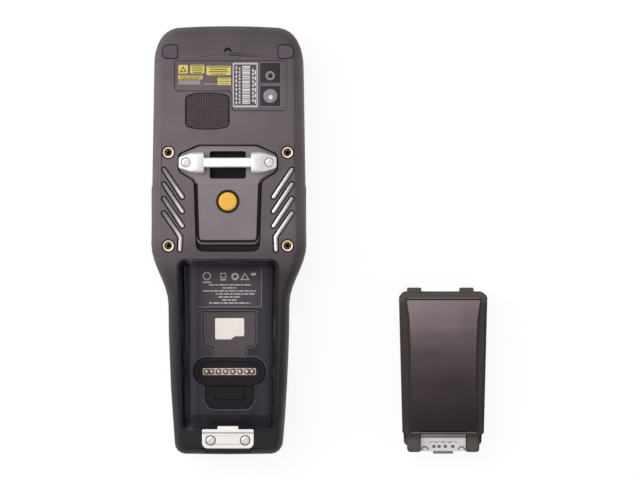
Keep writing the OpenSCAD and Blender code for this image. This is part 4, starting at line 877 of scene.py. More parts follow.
@dataclass
class LabelField(Assembly):
    """Blank stickers and the bar label in the recess of the head."""

    floor_z: float = 32.5
    thick: float = 0.12
    label: Patch = (2.4, 15.1, 66.8, 89.3)
    stickers: tuple[Patch, ...] = (
        (-24.9, -20.1, 83.8, 88.2), (-19.0, -11.8, 83.9, 88.3), (-10.8, 1.5, 83.0, 87.7),
        (-25.1, -12.7, 80.9, 83.1), (-5.2, 1.5, 78.0, 81.8))
    strips: tuple[Patch, ...] = ((-25.1, -13.8, 78.2, 80.5), (-12.2, -5.4, 78.3, 78.9))
    ladder: tuple[float, ...] = (0.9, 0.4, 0.6, 1.2, 0.4, 0.8, 0.5, 0.4, 1.1, 0.5, 0.7, 0.4, 1.3, 0.5, 0.4, 0.9,
                                 0.6, 0.4, 1.0, 0.5)
    ladder_x: float = 6.8
    ladder_w: float = 3.9
    ladder_gap: float = 0.3
    columns: tuple[Place, ...] = ((1.9, 1.5, 0.7), (3.5, 1.1, 0.6), (10.2, 1.3, 0.6), (11.4, 2.1, 0.8))
    column_w: float = 0.75
    sign_half: Point = (1.75, 1.5)

    def build(self) -> None:
        """Makes the stickers, the label, its border and its bars."""
        recess = rounded([(29.9, 90.5), (-27, 90.5), (-27, 74.9), (0.5, 74.9), (2, 73.4), (2, 65.0), (29.9, 65.0)],
                         [1.6, 1.6, 2.2, 0.8, 0.8, 1.6, 2.2])
        # A dark wall along the recess's edge paints the shade at its rim.
        line = Sculptor().wall(recess, 0.32, self.floor_z - 0.05, self.floor_z + 0.03)
        line.piece("recess_line", Look.shadow, "housing_grey")
        x0, x1, y0, y1 = self.label
        self.patches("blank_stickers", Look.yellow, self.stickers)
        self.patches("blank_strips", Look.print_grey, self.strips, r=0.2)
        self.patches("label_border", Look.label_pale, [self.label], r=0.6)
        self.patches("label_face", Look.label, [(x0 + 0.7, x1 - 0.7, y0 + 1.0, y1 - 0.9)], self.thick * 0.6, 0.4)
        self.bars()
        self.printing()

    def patches(self, name: str, finish: Finish, spots: Sequence[Patch], lift: float = 0.0, r: float = 0.5) -> None:
        """Makes flat patches between two corners each, lift over the floor."""
        made, low = Sculptor(), self.floor_z + 0.005 + lift
        for x0, x1, y0, y1 in spots:
            outline = rounded(rect(x1 - x0, y1 - y0, ((x0 + x1) / 2, (y0 + y1) / 2)), r, 4)
            made.prism(outline, low, low + self.thick, 0.03, steps=1)
        made.piece(name, finish, "housing_grey")

    def bars(self) -> None:
        """A ladder of bars, and plain dashes where the label has lines."""
        left, _, low, top = self.label
        bars, y = [], top - 1.6
        for width in self.ladder:
            bars.append((left + self.ladder_x, y - width / 2, self.ladder_w, width))
            y -= width + self.ladder_gap
        for column, (x, length, gap) in enumerate(self.columns):
            y = top - 1.8 - 0.7 * column
            while y - length > low + 1.5:
                bars.append((left + x, y - length / 2, self.column_w, length))
                y -= length + gap
        z = self.floor_z + 2.2 * self.thick
        COPIES.bars("label_bars", Look.print_white, "housing_grey", z, bars, -0.02, 0.03)

    def printing(self) -> None:
        """Plain lines and a triangle on the blank stickers."""
        z = self.floor_z + self.thick + 0.02
        bars = []
        for stickers, shares, length in ((self.stickers[1:3], (0.86, 0.7, 0.8, 0.6), 0.42),
                                         (self.stickers[3:], (0.84, 0.9, 0.7), 0.3)):
            for x0, x1, y0, y1 in stickers:
                for k, share in enumerate(shares):
                    y = y1 - (y1 - y0) * (k + 0.5) / len(shares)
                    bars.append(((x0 + x1) / 2, y, (x1 - x0) * share, length))
        COPIES.bars("sticker_lines", Look.ink, "housing_grey", z, bars, -0.02, 0.02)
        x0, x1, y0, y1 = self.stickers[0]
        x, y, (half, tall) = (x0 + x1) / 2, (y0 + y1) / 2, self.sign_half
        corners = [(x + half, y - tall), (x, y + tall), (x - half, y - tall)]
        Sculptor().wall(corners, 0.42, z - 0.02, z + 0.03).piece("sticker_triangle", Look.ink, "housing_grey")


@dataclass
class HeadFittings(Assembly):
    """Speaker mesh, camera and flash windows, corner pads and what lies behind them."""

    speaker_at: Point = (-10.3, 64.9)
    speaker_w: float = 22.2
    speaker_l: float = 18.6
    speaker_corner: float = 2.4
    arch: float = 1.4
    mesh_z: float = 32.3
    pitch: float = 0.84
    wire_r: float = 0.2
    window_z: float = 32.5
    flash_at: Point = (21.35, 72.56)
    camera_at: Point = (21.35, 84.2)
    window_side: float = 10.3
    pad_half: Point = (3.95, 3.5)

    def build(self) -> None:
        """Makes the fittings of the head."""
        self.speaker()
        self.windows()
        self.pads()
        repaint(Look.module, "speaker_unit", "camera_module")

    def pads(self) -> None:
        """The corner pads, each ringed by a dark strip of painted shade that is rounder on the outside."""
        dress("corner_pads", Look.rubber, "pad_rubber", 0.25)
        low, high = limits("corner_pads")
        half_w, half_l = self.pad_half
        edge = Sculptor()
        for side in (-1, 1):
            x, y = side * (high[0] - half_w), (low[1] + high[1]) / 2
            corners = [(x + side * sx * half_w, y + sy * half_l) for sx, sy in ((1, 1), (-1, 1), (-1, -1), (1, -1))]
            edge.wall(rounded(corners, [3.3, 1, 1, 3.3]), 0.3, low[2] + 0.2, high[2] + 0.02)
        edge.piece("pad_edges", Look.shadow, "pad_rubber")

    def half_length(self, x: float, margin: float) -> float:
        """Half the mesh's length at x from its middle, less a margin, with its arched edges."""
        half_w = self.speaker_w / 2 - margin
        edge = self.speaker_l / 2 - margin - self.arch * (x / half_w) ** 2
        over = abs(x) - (half_w - self.speaker_corner)
        if over > 0:
            edge -= self.speaker_corner - math.sqrt(max(0, self.speaker_corner ** 2 - over ** 2))
        return edge

    def speaker(self) -> None:
        """A woven wire cloth in its recess, on a dark felt."""
        cx, cy = self.speaker_at
        margin = self.wire_r + 0.05
        half_w = self.speaker_w / 2 - margin
        columns, rows = int(half_w / self.pitch), int((self.speaker_l / 2 - margin) / self.pitch)
        step = self.pitch / 4
        paths = []
        for i in range(-columns, columns + 1):
            x = i * self.pitch
            count = int(self.half_length(x, margin) / step)
            paths.append([(cx + x, cy + j * step, self.mesh_z + self.wave(j * step, i))
                          for j in range(-count, count + 1)])
        for i in range(-rows, rows + 1):
            y = i * self.pitch
            reach = max((x * 0.1 for x in range(int(half_w * 10)) if self.half_length(x * 0.1, margin) >= abs(y)),
                        default=0)
            count = int(reach / step)
            paths.append([(cx + j * step, cy + y, self.mesh_z - self.wave(j * step, i))
                          for j in range(-count, count + 1)])
        SWEEP.along("speaker_cloth", paths, self.wire_r, Look.wire, "mesh_black", "speaker_mesh", sides=5)
        outline = rounded(rect(self.speaker_w - 0.5, self.speaker_l - 2.6, self.speaker_at), 2.2)
        felt = Sculptor().prism(outline, self.mesh_z - 0.6, self.mesh_z - 0.42, 0.05)
        felt.piece("speaker_felt", Look.felt, "mesh_black")

    def wave(self, along: float, index: int) -> float:
        """Height of a wire that goes over and under its neighbours."""
        return self.wire_r * 0.95 * math.cos(math.pi * along / self.pitch) * (-1) ** index

    def windows(self) -> None:
        """Two dark panes, with the flash's disc and bright spot in one and the camera's lens in the other."""
        z, side = self.window_z, self.window_side
        panes, pane_highlight_walls = Sculptor(), Sculptor()
        for at in (self.flash_at, self.camera_at):
            panes.prism(rounded(rect(side - 0.1, side - 0.1, at), 0.8), z - 1.2, z, 0.15)
            # A thin pale wall round each pane paints the highlight along its gap.
            pane_highlight_walls.wall(rounded(rect(side + 0.5, side + 0.5, at), 1.0), 0.3, z - 0.1, z + 0.1)
        panes.piece("camera_panes", Look.window, "window_glass", "camera_windows")
        pane_highlight_walls.piece("pane_trims", Look.edge_highlight, "window_glass")
        x, y = self.flash_at
        lens = (self.camera_at[0], self.camera_at[1] - 1.4, z)
        for name, finish, at, profile in (
                ("lens_disc", Look.disc, (x, y, z), [(0, -0.05), (3.5, -0.05), (3.5, 0.04), (3.3, 0.1), (0, 0.1)]),
                ("lens_rings", Look.ring, lens, [(1.3, -0.05), (2.3, -0.05), (2.3, 0.06), (2.1, 0.14), (1.6, 0.1),
                                                 (1.3, 0.02)]),
                ("lens_eyes", Look.eye, lens, [(0, -0.05), (1.28, -0.05), (1.28, 0.0), (0.8, 0.1), (0, 0.14)]),
                ("flash_emitter", Look.light, (x + 0.2, y - 0.7, z), [(0, 0.08), (1.1, 0.08), (1.05, 0.16),
                                                                     (0, 0.2)])):
            Sculptor().revolve(profile, at).piece(name, finish, "window_glass")


@dataclass
class StrapMount(Assembly):
    """The ribbed plate with its bar, lugs and screws."""

    plate_z: float = 33.6
    plate_top: float = 28.0
    stem_half: float = 15.75
    stem_low: float = -0.6
    stem_corner: float = 2.6
    bar_y: float = 38.9
    cap_x: float = 14.5
    cap_size: Point = (5.3, 6.9)
    cap_z: Point = (37.8, 38.22)
    rib_pitch: float = 0.95
    rib_w: float = 0.42
    trigger_y: float = 19.4
    trigger_gap: float = 6.6
    lug_screw: Point = (20.9, 35.3)
    strike_screw: Place = (8.7, -100.9, 32.2)
    strike_z: float = 33.0
    fold_y: float = -97.25
    fold_size: Point = (25.6, 0.46)

    def build(self) -> None:
        """Makes the plate, its ribs, the bar, the lugs and the screws."""
        dress("strap_plate", Look.plate, "plate_black", 0.2)
        dress("strap_bar", Look.bright, "bright_steel", 0.5)
        dress("bar_lugs", Look.cast, "cast_bright", 0.35)
        self.ribs()
        self.screws()
        self.edges()

    def edges(self) -> None:
        """A dark strip of painted shade along the plate's stem, the caps over the bar's ends, and a grey strip of
        painted shade on the strike plate's fold.
        """
        half, low, r = self.stem_half, self.stem_low, self.stem_corner
        # A dark strip along the plate's stem paints the shade at its edge.
        path = [(half + 0.1, self.plate_top + 0.6), (half, self.plate_top - 1.0), (half - 0.8, low + r)]
        path += arc((half - 0.8 - r, low + r), r, -15, -90, 5)
        path += [(-x, y) for x, y in reversed(path)]
        line = Sculptor().ribbon(path, 1.3, self.plate_z - 0.03, self.plate_z + 0.03)
        line.piece("plate_edge", Look.shadow, "plate_black")
        caps = Sculptor()
        for side in (-1, 1):
            caps.prism(rounded(rect(*self.cap_size, (side * self.cap_x, self.bar_y)), 0.35), *self.cap_z, 0.12)
        caps.piece("lug_caps", Look.cast, "cast_bright")
        # A grey strip paints the shade on the strike plate's fold.
        outline = rect(*self.fold_size, (0, self.fold_y))
        fold = Sculptor().prism(outline, self.strike_z - 0.2, self.strike_z - 0.05)
        fold.piece("strike_fold", Look.crease, "bright_steel")

    def ribs(self) -> None:
        """Fine cross ribs on the stem of the plate, left out round the trigger."""
        spots, y = [], self.plate_top
        while y > -0.2:
            half = 14.6 - 0.02 * (self.plate_top - y)
            gap = math.sqrt(max(0.0, self.trigger_gap ** 2 - (y - self.trigger_y) ** 2))
            middles = [side * (half + gap) / 2 for side in (-1, 1)] if gap else [0]
            spots += [Spot((x, y, self.plate_z), (half - gap if gap else 2 * half, 1, 1)) for x in middles]
            y -= self.rib_pitch
        profile = ((-0.5, -0.05), (0.5, -0.05), (0.3, 0.09), (-0.3, 0.09))
        shape = Sculptor().rings([[(x, share * self.rib_w, z) for share, z in profile] for x in (-0.5, 0.5)])
        COPIES.place("plate_ribs", shape.build("rib_shape"), Look.plate, "plate_black", spots)

    def screws(self) -> None:
        """Four pan head screws with a six-lobed socket, two of them on a washer."""
        profile = [(0, -3.6), (1.0, -3.6), (1.0, 0.02), (2.1, 0.02), (2.2, 0.35), (2.0, 0.8), (1.0, 0.98),
                   (0.95, 0.95), (0.85, 0.35), (0, 0.3)]
        socket = range(6, 9)

        def lobes(angle: float, index: int) -> float:
            return 1 + 0.16 * math.cos(6 * angle) if index in socket else 1

        x, z = self.lug_screw
        sx, sy, sz = self.strike_screw
        spots = [Spot((s * x, self.bar_y, z), turn=(0, 0, 0.3 * s)) for s in (-1, 1)]
        spots += [Spot((s * sx, sy, sz), turn=(0, 0, 0.7 * s)) for s in (-1, 1)]
        shape = Sculptor().revolve(profile, warp=lobes).build("screw_shape")
        COPIES.place("pan_screws", shape, Look.screw, "screw_steel", spots, "plate_screws")
        washers = Sculptor()
        for side in (-1, 1):
            washers.revolve([(2.25, -0.1), (2.7, -0.1), (2.7, 0.03), (2.25, 0.03)], (side * sx, sy, self.strike_z))
        washers.piece("screw_washers", Look.crease, "screw_steel")


@dataclass
class Triggers(Assembly):
    """The rear trigger with its bezel, and the two side triggers."""

    at: Point = (0.0, 19.4)
    r: float = 4.65
    side_at: Point = (18.0, 18.0)
    rib_pitch: float = 1.6

    def build(self) -> None:
        """Makes the three triggers and the bezel."""
        dress("trigger_bezel", Look.gloss, "gloss_black", 0.15, 25)
        button = Sculptor().revolve([
            (0, 28.9), (5.4, 28.9), (5.4, 29.9), (self.r, 29.9), (self.r, 33.7), (4.5, 34.1), (4.2, 34.35),
            (3.6, 34.47), (2.4, 34.44), (1.2, 34.4), (0, 34.38)], (*self.at, 0), 64)
        button.piece("trigger_cap", Look.orange, "orange_plastic", "trigger_button", body="rear_trigger")
        for side, name in ((-1, "left"), (1, "right")):
            dress(f"side_trigger_{name}", Look.module, "housing_black", 0.2, body=f"{name}_trigger")
            self.side_ribs(side, name)

    def side_ribs(self, side: int, name: str) -> None:
        """Grip ribs on a side trigger."""
        low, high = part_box(f"side_trigger_{name}")
        x = (high.x if side > 0 else low.x) / MM
        y, z = self.side_at
        spots = [Spot((x, y + k * self.rib_pitch, z)) for k in range(-4, 5)]
        profile = ((-0.15, -0.3, 1.9), (0.12, -0.12, 1.8), (0.12, 0.12, 1.8), (-0.15, 0.3, 1.9))
        rings = [[(out, across, end * half) for out, across, half in profile] for end in (-1, 1)]
        shape = Sculptor().rings(rings).build("side_rib_shape")
        if side < 0:
            shape.data.transform(Matrix.Scale(-1, 4, (1, 0, 0)))
            shape.data.flip_normals()
        COPIES.place(f"side_ribs_{name}", shape, Look.module, "housing_black", spots, body=f"{name}_trigger")


@dataclass
class BackFittings(Assembly):
    """Gill inlays, threaded inserts and the strike plate."""

    gill_top: Point = (32.2, 35.4)
    gill_run: Point = (-9.2, -13.7)
    gill_pitch: float = 7.3
    gill_r: float = 1.1
    gill_low: float = 32.1
    inserts: tuple[Point, ...] = ((30, 44.1), (-30, 44.1), (30, -2.9), (-30, -2.9))
    insert_z: float = 32.8
    thread_turns: int = 9
    thread_pitch: float = 0.5

    def build(self) -> None:
        """Makes the inlays, the inserts and the strike plate."""
        self.gills()
        self.brass()
        dress("strike_plate", Look.strike, "bright_steel", 0.15)

    def gill_paths(self, side: int) -> list[list[Point]]:
        """The centre lines of one side's four inlays, the lowest with a bend."""
        x, y = self.gill_top
        dx, dy = self.gill_run
        tops = [(x, y - self.gill_pitch * k) for k in range(4)]
        paths = [[top, (x + dx, top[1] + dy)] for top in tops[:3]]
        bend = (x + dx * 0.9, tops[3][1] + dy * 0.87)
        paths.append([tops[3], bend, (bend[0] + 0.3, bend[1] - 6.6)])
        return [[(side * px, py) for px, py in path] for path in paths]

    def gills(self) -> None:
        """Half-round polished inlays that sink towards their upper ends, each ringed by a dark strip of painted
        shade.
        """
        slot_shades = Sculptor()
        for side, name, nodes in ((1, "right", ["grip_inlays"]), (-1, "left", [])):
            made = Sculptor()
            for path in self.gill_paths(side):
                made.rings(self.blade(path))
                slot_shades.wall(trail(path, self.gill_r + 0.5), 0.42, 32.9, 33.03)
            settle(made.build(f"gill_inlays_{name}", 60), Look.inlay, "gloss_inlay", *nodes)
        slot_shades.piece("gill_beds", Look.shadow, "housing_grey")

    def blade(self, path: Sequence[Point]) -> list[list[Place]]:
        """Cross rings along a path: round on top, with rounded ends.

        Args:
            path: The centre line, from the upper end.

        Returns:
            Rings of points in millimetres.
        """
        line = [Vector(p) for p in path]
        ways = [(b - a).normalized() for a, b in zip(line, line[1:])]
        spans = [(b - a).length for a, b in zip(line, line[1:])]
        total, r = sum(spans), self.gill_r
        stations = [-r * math.cos(math.radians(a)) for a in (8, 30, 50, 70, 90)]
        stations += [total * k / 14 for k in range(1, 14)]
        stations += [total + r * math.cos(math.radians(a)) for a in (90, 70, 50, 30, 8)]
        rings = []
        for station in stations:
            inside = min(max(station, 0), total)
            past = station - inside
            index = 1 if len(spans) > 1 and inside > spans[0] else 0
            along = ways[0]
            if len(spans) > 1:
                turn = min(1, max(0, (inside - spans[0] + 1.2) / 2.4))
                along = ways[0].lerp(ways[1], turn).normalized()
            centre = line[index] + ways[index] * (inside - spans[0] * index) + along * past
            half = math.sqrt(max(0.01, r * r - past * past))
            across = Vector((-along.y, along.x))
            rise = 0.23 + 0.5 * inside / total
            ring = []
            for u in (-1, -0.92, -0.7, -0.38, 0, 0.38, 0.7, 0.92, 1):
                height = 0.02 + rise * math.sqrt(1 - u * u) ** 0.8 * (half / r) ** 0.5 if abs(u) < 1 else 0
                ring.append((centre.x + across.x * half * u, centre.y + across.y * half * u, self.gill_low + height))
            rings.append(ring)
        return rings

    def brass(self) -> None:
        """Threaded brass inserts, each with painted shade in its chamfered mouth and a dark ring of painted shade
        round it.
        """
        shape = Sculptor().revolve([(1.32, -6.5), (2.85, -6.5), (2.85, -0.15), (2.7, 0), (2.1, 0), (1.95, -0.1),
                                    (1.5, -0.6), (1.32, -0.8)]).build("insert_shape")
        spots = [Spot((x, y, self.insert_z)) for x, y in self.inserts]
        COPIES.place("brass_inserts", shape, Look.brass, "brass", spots, "threaded_inserts")
        mouth_shades, pocket_shades = Sculptor(), Sculptor()
        for spot in spots:
            mouth_shades.revolve([(1.33, -0.72), (1.5, -0.55), (1.9, -0.07), (1.9, -0.02), (1.46, -0.5), (1.33, -0.6)],
                           spot.at)
            pocket_shades.revolve([(2.95, -0.2), (3.35, -0.2), (3.35, 0.22), (2.95, 0.22)], spot.at)
        mouth_shades.piece("insert_mouths", Look.collar, "brass")
        pocket_shades.piece("insert_pockets", Look.shadow, "housing_grey")
        turns = [2 * math.pi * k / 16 for k in range(self.thread_turns * 16)]
        paths = [[(x + 1.3 * math.cos(a), y + 1.3 * math.sin(a), 27.0 + self.thread_pitch * a / (2 * math.pi))
                  for a in turns] for x, y in self.inserts]
        SWEEP.along("insert_threads", paths, 0.12, Look.brass, "brass", sides=4)


@dataclass
class BatteryBay(Assembly):
    """The bay with its label, card door, contacts and seal."""

    floor_z: float = 11.5
    label_x: float = 16.1
    label_y: Point = (-34.1, -15.0)
    contact_y: float = -67.4
    pins: tuple[float, ...] = (-11.7, -9.1, -5.5, -1.84, 1.84, 5.5, 9.1, 11.7)
    rows: tuple[Point, ...] = ((-10.5, 11.5), (-3.5, 3.5), (-13.5, 13.5), (-7.0, 13.2), (-5.6, 5.8), (-3.8, 3.6),
                               (-10.4, 10.6))
    dashes: tuple[float, ...] = (2.6, 1.5, 3.3, 1.1, 2.1)
    dash_gap: float = 0.5
    dash_l: float = 0.62
    rows_top: float = 8.0
    row_pitch: float = 1.55
    rail_z: float = 15.0

    def build(self) -> None:
        """Makes everything in the bay."""
        dress("battery_bay", Look.bay, "gloss_bay", 0.2, 25)
        dress("card_door", Look.door, "door_rubber", 0.12, body="card_door")
        dress("memory_card", Look.card, "card_grey", 0.08, body="memory_card")
        dress("contact_seal", Look.seal, "seal_rubber", 0.25)
        dress("contact_block", Look.strip, "contact_pale", 0.1)
        repaint(Look.panel, "card_socket")
        self.contacts()
        self.label()
        self.rails()
        self.rims()

    def contacts(self) -> None:
        """Eight gold pins, and the collars they stand in."""
        low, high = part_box("contact_pins")
        top = high.z / MM
        foot = low.z / MM - top
        shape = Sculptor().revolve([(0, foot), (1.02, foot), (1.02, -1.2), (1.0, -1.1), (0.78, -1.0), (0.78, -0.4),
                                    (0.66, -0.12), (0.35, -0.02), (0, 0)], steps=24).build("pin_shape")
        spots = [Spot((x, self.contact_y, top)) for x in self.pins]
        COPIES.place("gold_pins", shape, Look.gold, "gold_contact", spots, "contact_pins", body="contact_pins")
        block_z = limits("contact_block")[1][2]
        collars, profile = Sculptor(), [(1.06, -0.02), (1.5, -0.02), (1.45, 0.05), (1.06, 0.05)]
        for x in self.pins:
            collars.revolve(profile, (x, self.contact_y, block_z), 24)
        collars.piece("pin_collars", Look.collar, "contact_pale")

    def label(self) -> None:
        """A bare label plate with a pale strip of painted highlight along its right and lower edges, generic signs
        and rows of plain dashes.
        """
        x, (y0, y1), z = self.label_x, self.label_y, self.floor_z
        # The pale plate under the label shows to the right and below, which paints a highlight on those edges.
        for name, finish, right, drop, radius, low, high in (
                ("bay_label_edge", Look.print_grey, x + 0.5, 0.4, 0.8, 0.01, 0.12),
                ("bay_label_face", Look.bay_label, x, 0, 0.6, 0.05, 0.2)):
            corners = [(right, y1), (-x + 2.5, y1), (-x, y1 - 2.5), (-x, y0 - drop), (right, y0 - drop)]
            plate = Sculptor().prism(rounded(corners, [radius, 0.3, 0.3, 0.3, radius]), z + low, z + high, 0.04)
            plate.piece(name, finish, "gloss_bay")
        top, mid = z + 0.2, y1 - 3.7
        signs = Sculptor()
        for outline, width in ((circle(2.1, (-11.6, mid + 0.2), 28), 0.5), (circle(1.9, (2.9, mid), 28), 0.9),
                               ([(10.3, mid - 1.8), (7.9, mid + 2.0), (5.5, mid - 1.8)], 0.45),
                               (rect(3.0, 2.6, (-3.2, mid + 0.5)), 0.4)):
            signs.wall(outline, width, top - 0.03, top + 0.03)
        signs.piece("bay_label_signs", Look.print_white, "gloss_bay")
        bars = [(-3.2, mid - 1.7, 3.0, 0.7), (12.3, mid + 1.2, 2.6, 1.3), (-11.6, mid - 3.0, 4.4, 0.6)]
        for row, (at, right) in enumerate(self.rows):
            k = row
            while at < right - 0.4:
                length = min(self.dashes[k % len(self.dashes)], right - at)
                bars.append((at + length / 2, y1 - self.rows_top - self.row_pitch * row, length, self.dash_l))
                at += length + self.dash_gap
                k += 1
        COPIES.bars("bay_label_dashes", Look.print_white, "gloss_bay", top, bars, -0.03, 0.03)

    def rails(self) -> None:
        """Raised steps along the upper part of the side walls."""
        made = Sculptor()
        for side in (-1, 1):
            outline = [(side * x, y) for x, y in ((22.9, -12.6), (21.5, -12.6), (20.75, -57.6), (22.4, -58.6))]
            made.prism(rounded(outline, 0.25, 3), self.floor_z - 0.2, self.floor_z + self.rail_z, 0.4)
        made.piece("bay_rails", Look.bay, "gloss_bay")

    def rims(self) -> None:
        """Dark gaps and thin raised lines round the door's pocket, the contact seal and its lobe."""
        z = self.floor_z
        door = rounded([(14.1, -36.2), (-14.1, -36.2), (-14.1, -55.1), (-9.1, -55.1), (-9.1, -60.4), (9.1, -60.4),
                        (9.1, -55.1), (14.1, -55.1)], [1.2, 1.2, 3.4, 0.9, 2, 2, 0.9, 3.4])
        seal = rounded(rect(37.8, 15.3, (0, self.contact_y)), 7.3, 10)
        lobe = rounded([(12.9, -74.0), (-12.9, -74.0), (-12.9, -87.1), (12.9, -87.1)], [0.1, 0.1, 5.4, 5.4])
        gaps = Sculptor().wall(door, 0.75, z - 0.05, z + 0.03).wall(seal, 0.8, z - 0.05, z + 0.03)
        gaps.piece("bay_gaps", Look.gasket, "gloss_bay")
        for name, outlines, radius, closed in (
                ("bay_rims", (door, seal), 0.26, True),
                ("lobe_rim", ([p for p in lobe if p[1] < -74.2],), 0.22, False)):
            paths = [[(x, y, z) for x, y in outline] for outline in outlines]
            SWEEP.along(name, paths, radius, Look.rim, "gloss_bay", flatness=0.7, closed=closed)


@dataclass
class Keypad(Assembly):
    """The keys with their legends, on the underside."""

    signs: tuple[tuple[str, str], ...] = (*((f"key_{d}", d) for d in "1234567890"), ("key_star", "*"),
                                          ("key_hash", "#"))
    others: tuple[tuple[str, Finish, str], ...] = (
        ("scan_key", Look.orange, "orange_plastic"), ("left_soft_key", Look.key, "key_grey"),
        ("right_soft_key", Look.key, "key_grey"), ("navigation_ring", Look.gloss, "gloss_black"),
        ("enter_key", Look.key, "key_grey"), ("escape_key", Look.red, "key_red"),
        ("function_key", Look.blue, "key_blue"), ("power_key", Look.red, "key_red"))
    legend_size: float = 4.6
    legend_thick: float = 0.03

    def build(self) -> None:
        """Makes every key, and its digit or sign where it has one."""
        for name, sign in self.signs:
            dress(name, Look.key, "key_grey", 0.2, 25, body=name)
            self.legend(name, sign)
        for name, finish, slot_name in self.others:
            dress(name, finish, slot_name, 0.2, 25, body=name)
        repaint(Look.mat, "keypad_mat")
        repaint(Look.board, "keypad_board")

    def legend(self, name: str, text: str) -> None:
        """A digit on a key's face, read from the front."""
        low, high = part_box(name)
        centre = (low + high) / 2
        curve = bpy.data.curves.new(f"{name}_legend", "FONT")
        curve.body, curve.size, curve.extrude = text, self.legend_size * MM, self.legend_thick * MM
        curve.align_x, curve.align_y = "CENTER", "CENTER"
        made = settled(linked(f"{name}_legend", curve))
        made.data.transform(Matrix.Translation((centre.x, centre.y, low.z)) @ Matrix.Rotation(math.pi, 4, "Y"))
        made.data.shade_smooth()
        made.data.set_sharp_from_angle(angle=math.radians(30))
        settle(made, Look.print_white, "key_grey", body=name)


@dataclass
class Front(Assembly):
    """The display, and the electronics behind it."""

    picture_w: float = 53.6
    picture_l: float = 71.6
    picture_up: float = 3.0

    def build(self) -> None:
        """Makes the lens with its picture area, and repaints what is inside."""
        dress("display_lens", Look.lens, "display_glass", 0.25)
        low, high = limits("display_lens")
        at = ((low[0] + high[0]) / 2, (low[1] + high[1]) / 2 + self.picture_up)
        outline = rounded(rect(self.picture_w, self.picture_l, at), 0.8)
        Sculptor().prism(outline, low[2] - 0.02, low[2] + 0.1).piece("display_picture", Look.picture, "display_glass")
        repaint(Look.panel, "lcd_panel")
        repaint(Look.board, "main_board")
        repaint(Look.module, "scan_engine")


@dataclass
class Ends(Assembly):
    """The scan window in the top end and the dock connector in the tail."""

    def build(self) -> None:
        """Dresses both."""
        dress("scan_window", Look.red_glass, "scan_red_glass", 0.25)
        dress("dock_connector", Look.gloss, "gloss_black", 0.12)


@dataclass
class BatteryPack(Assembly):
    """The pack that lies beside the terminal."""

    body: str = "battery_pack"
    latch: str = "pack_latch"
    centre_x: float = 109.2
    face_z: float = 20.6
    panel_z: float = 21.2
    panel_y: Point = (-30.3, -97.4)
    panel_half: tuple[Point, ...] = ((19, 0), (17.6, 0.14), (16.9, 0.4), (16.7, 0.8), (17.4, 1))
    roll: tuple[float, ...] = (-99.55, 18.4, 1.35, 11.6)
    slope: tuple[float, ...] = (-101.15, 18.8, -107.7, 17.0)
    waves_y: float = -103.4
    wave_pitch: float = 3.4
    marks_y: float = -105.2
    marks_x: tuple[float, ...] = (-4.7, -2.1, 1.1, 4.9)
    arches: Point = (9.4, -107.0)
    tongue_y: float = -108.25

    def build(self) -> None:
        """Makes the pack's case, cover, latch and inside."""
        dress("battery_case", Look.pack, "pack_black", 0.25, body=self.body)
        dress("battery_cover", Look.pack, "pack_gloss", 0.3, body=self.body)
        repaint(Look.cell, "battery_cells")
        repaint(Look.gold, "battery_contacts")
        repaint(Look.board, "protection_board")
        dress("battery_latch", Look.latch, "cast_bright", 0.2, body=self.latch)
        self.panel()
        self.finger_roll()
        self.latch_marks()

    def panel(self) -> None:
        """The glossy skin on the raised panel, the dark groove round it, and pale lines of painted highlight above
        and below it.
        """
        top, low = self.panel_y
        right = [(self.centre_x + half, lerp(top, low, share)) for half, share in self.panel_half]
        left = [(2 * self.centre_x - x, y) for x, y in reversed(right)]
        outline = list(reversed(right + left))
        skin = Sculptor().prism(inset(outline, 0.35), self.panel_z - 0.05, self.panel_z + 0.05, 0.04, steps=1)
        skin.piece("panel_skin", Look.panel_skin, "pack_gloss", body=self.body)
        groove = Sculptor().wall(inset(outline, -0.45), 0.5, self.face_z - 0.05, self.face_z + 0.04)
        groove.piece("panel_groove", Look.gasket, "pack_gloss", body=self.body)
        lines = Sculptor()
        for y, half in ((top + 0.65, 18.0), (low - 0.62, 16.6)):
            lines.prism(rect(2 * half, 0.34, (self.centre_x, y)), self.face_z - 0.04, self.face_z + 0.09)
        lines.piece("panel_lines", Look.edge_highlight, "pack_gloss", body=self.body)

    def finger_roll(self) -> None:
        """The brushed sleeve of the finger roll."""
        y, z, r, half = self.roll
        ends = ((-half, r), (-half + 0.2, r + 0.06), (half - 0.2, r + 0.06), (half, r))
        rings = [[(self.centre_x + x, *p) for p in circle(radius, (y, z), 28)] for x, radius in ends]
        Sculptor().rings(rings).piece("latch_roll", Look.roll, "cast_bright", body=self.latch)

    def height(self, y: float) -> float:
        """Height of the latch's slope."""
        y0, z0, y1, z1 = self.slope
        return z0 + (y - y0) * (z1 - z0) / (y1 - y0)

    def latch_marks(self) -> None:
        """Shallow waves, four plain marks and two arched ends on the latch's slope."""
        cx = self.centre_x
        z = self.height(-103.0) + 0.02
        paths = [[(cx + self.wave_pitch * k + 1.5 * x, self.waves_y + 0.9 * y, z)
                  for x, y in arc((0, 0), 1, 0, 180, 10)] for k in (-1.5, -0.5, 0.5, 1.5)]
        SWEEP.along("latch_waves", paths, 0.2, Look.mark, "cast_bright", flatness=0.6, body=self.latch)
        marks = Sculptor()
        for x in self.marks_x:
            marks.prism(rounded(rect(1.7, 1.5, (cx + x, self.marks_y)), [0.7, 0.7, 0.15, 0.15], 5), -0.05, 0.04)
        for side in (-1, 1):
            at = (cx + side * self.arches[0], self.arches[1])
            marks.prism(arc(at, 1.9, 0, 180, 12) + arc(at, 1.3, 180, 0, 12), -0.05, 0.04)
        marks.slanted(self.height).piece("latch_marks", Look.mark, "cast_bright", body=self.latch)
        tongue = Sculptor().prism(rounded(rect(10.2, 1.6, (cx, self.tongue_y)), 0.2), 16.5, 16.68, 0.05)
        tongue.piece("latch_tongue_face", Look.roll, "cast_bright", body=self.latch)


# ---- Studio ----

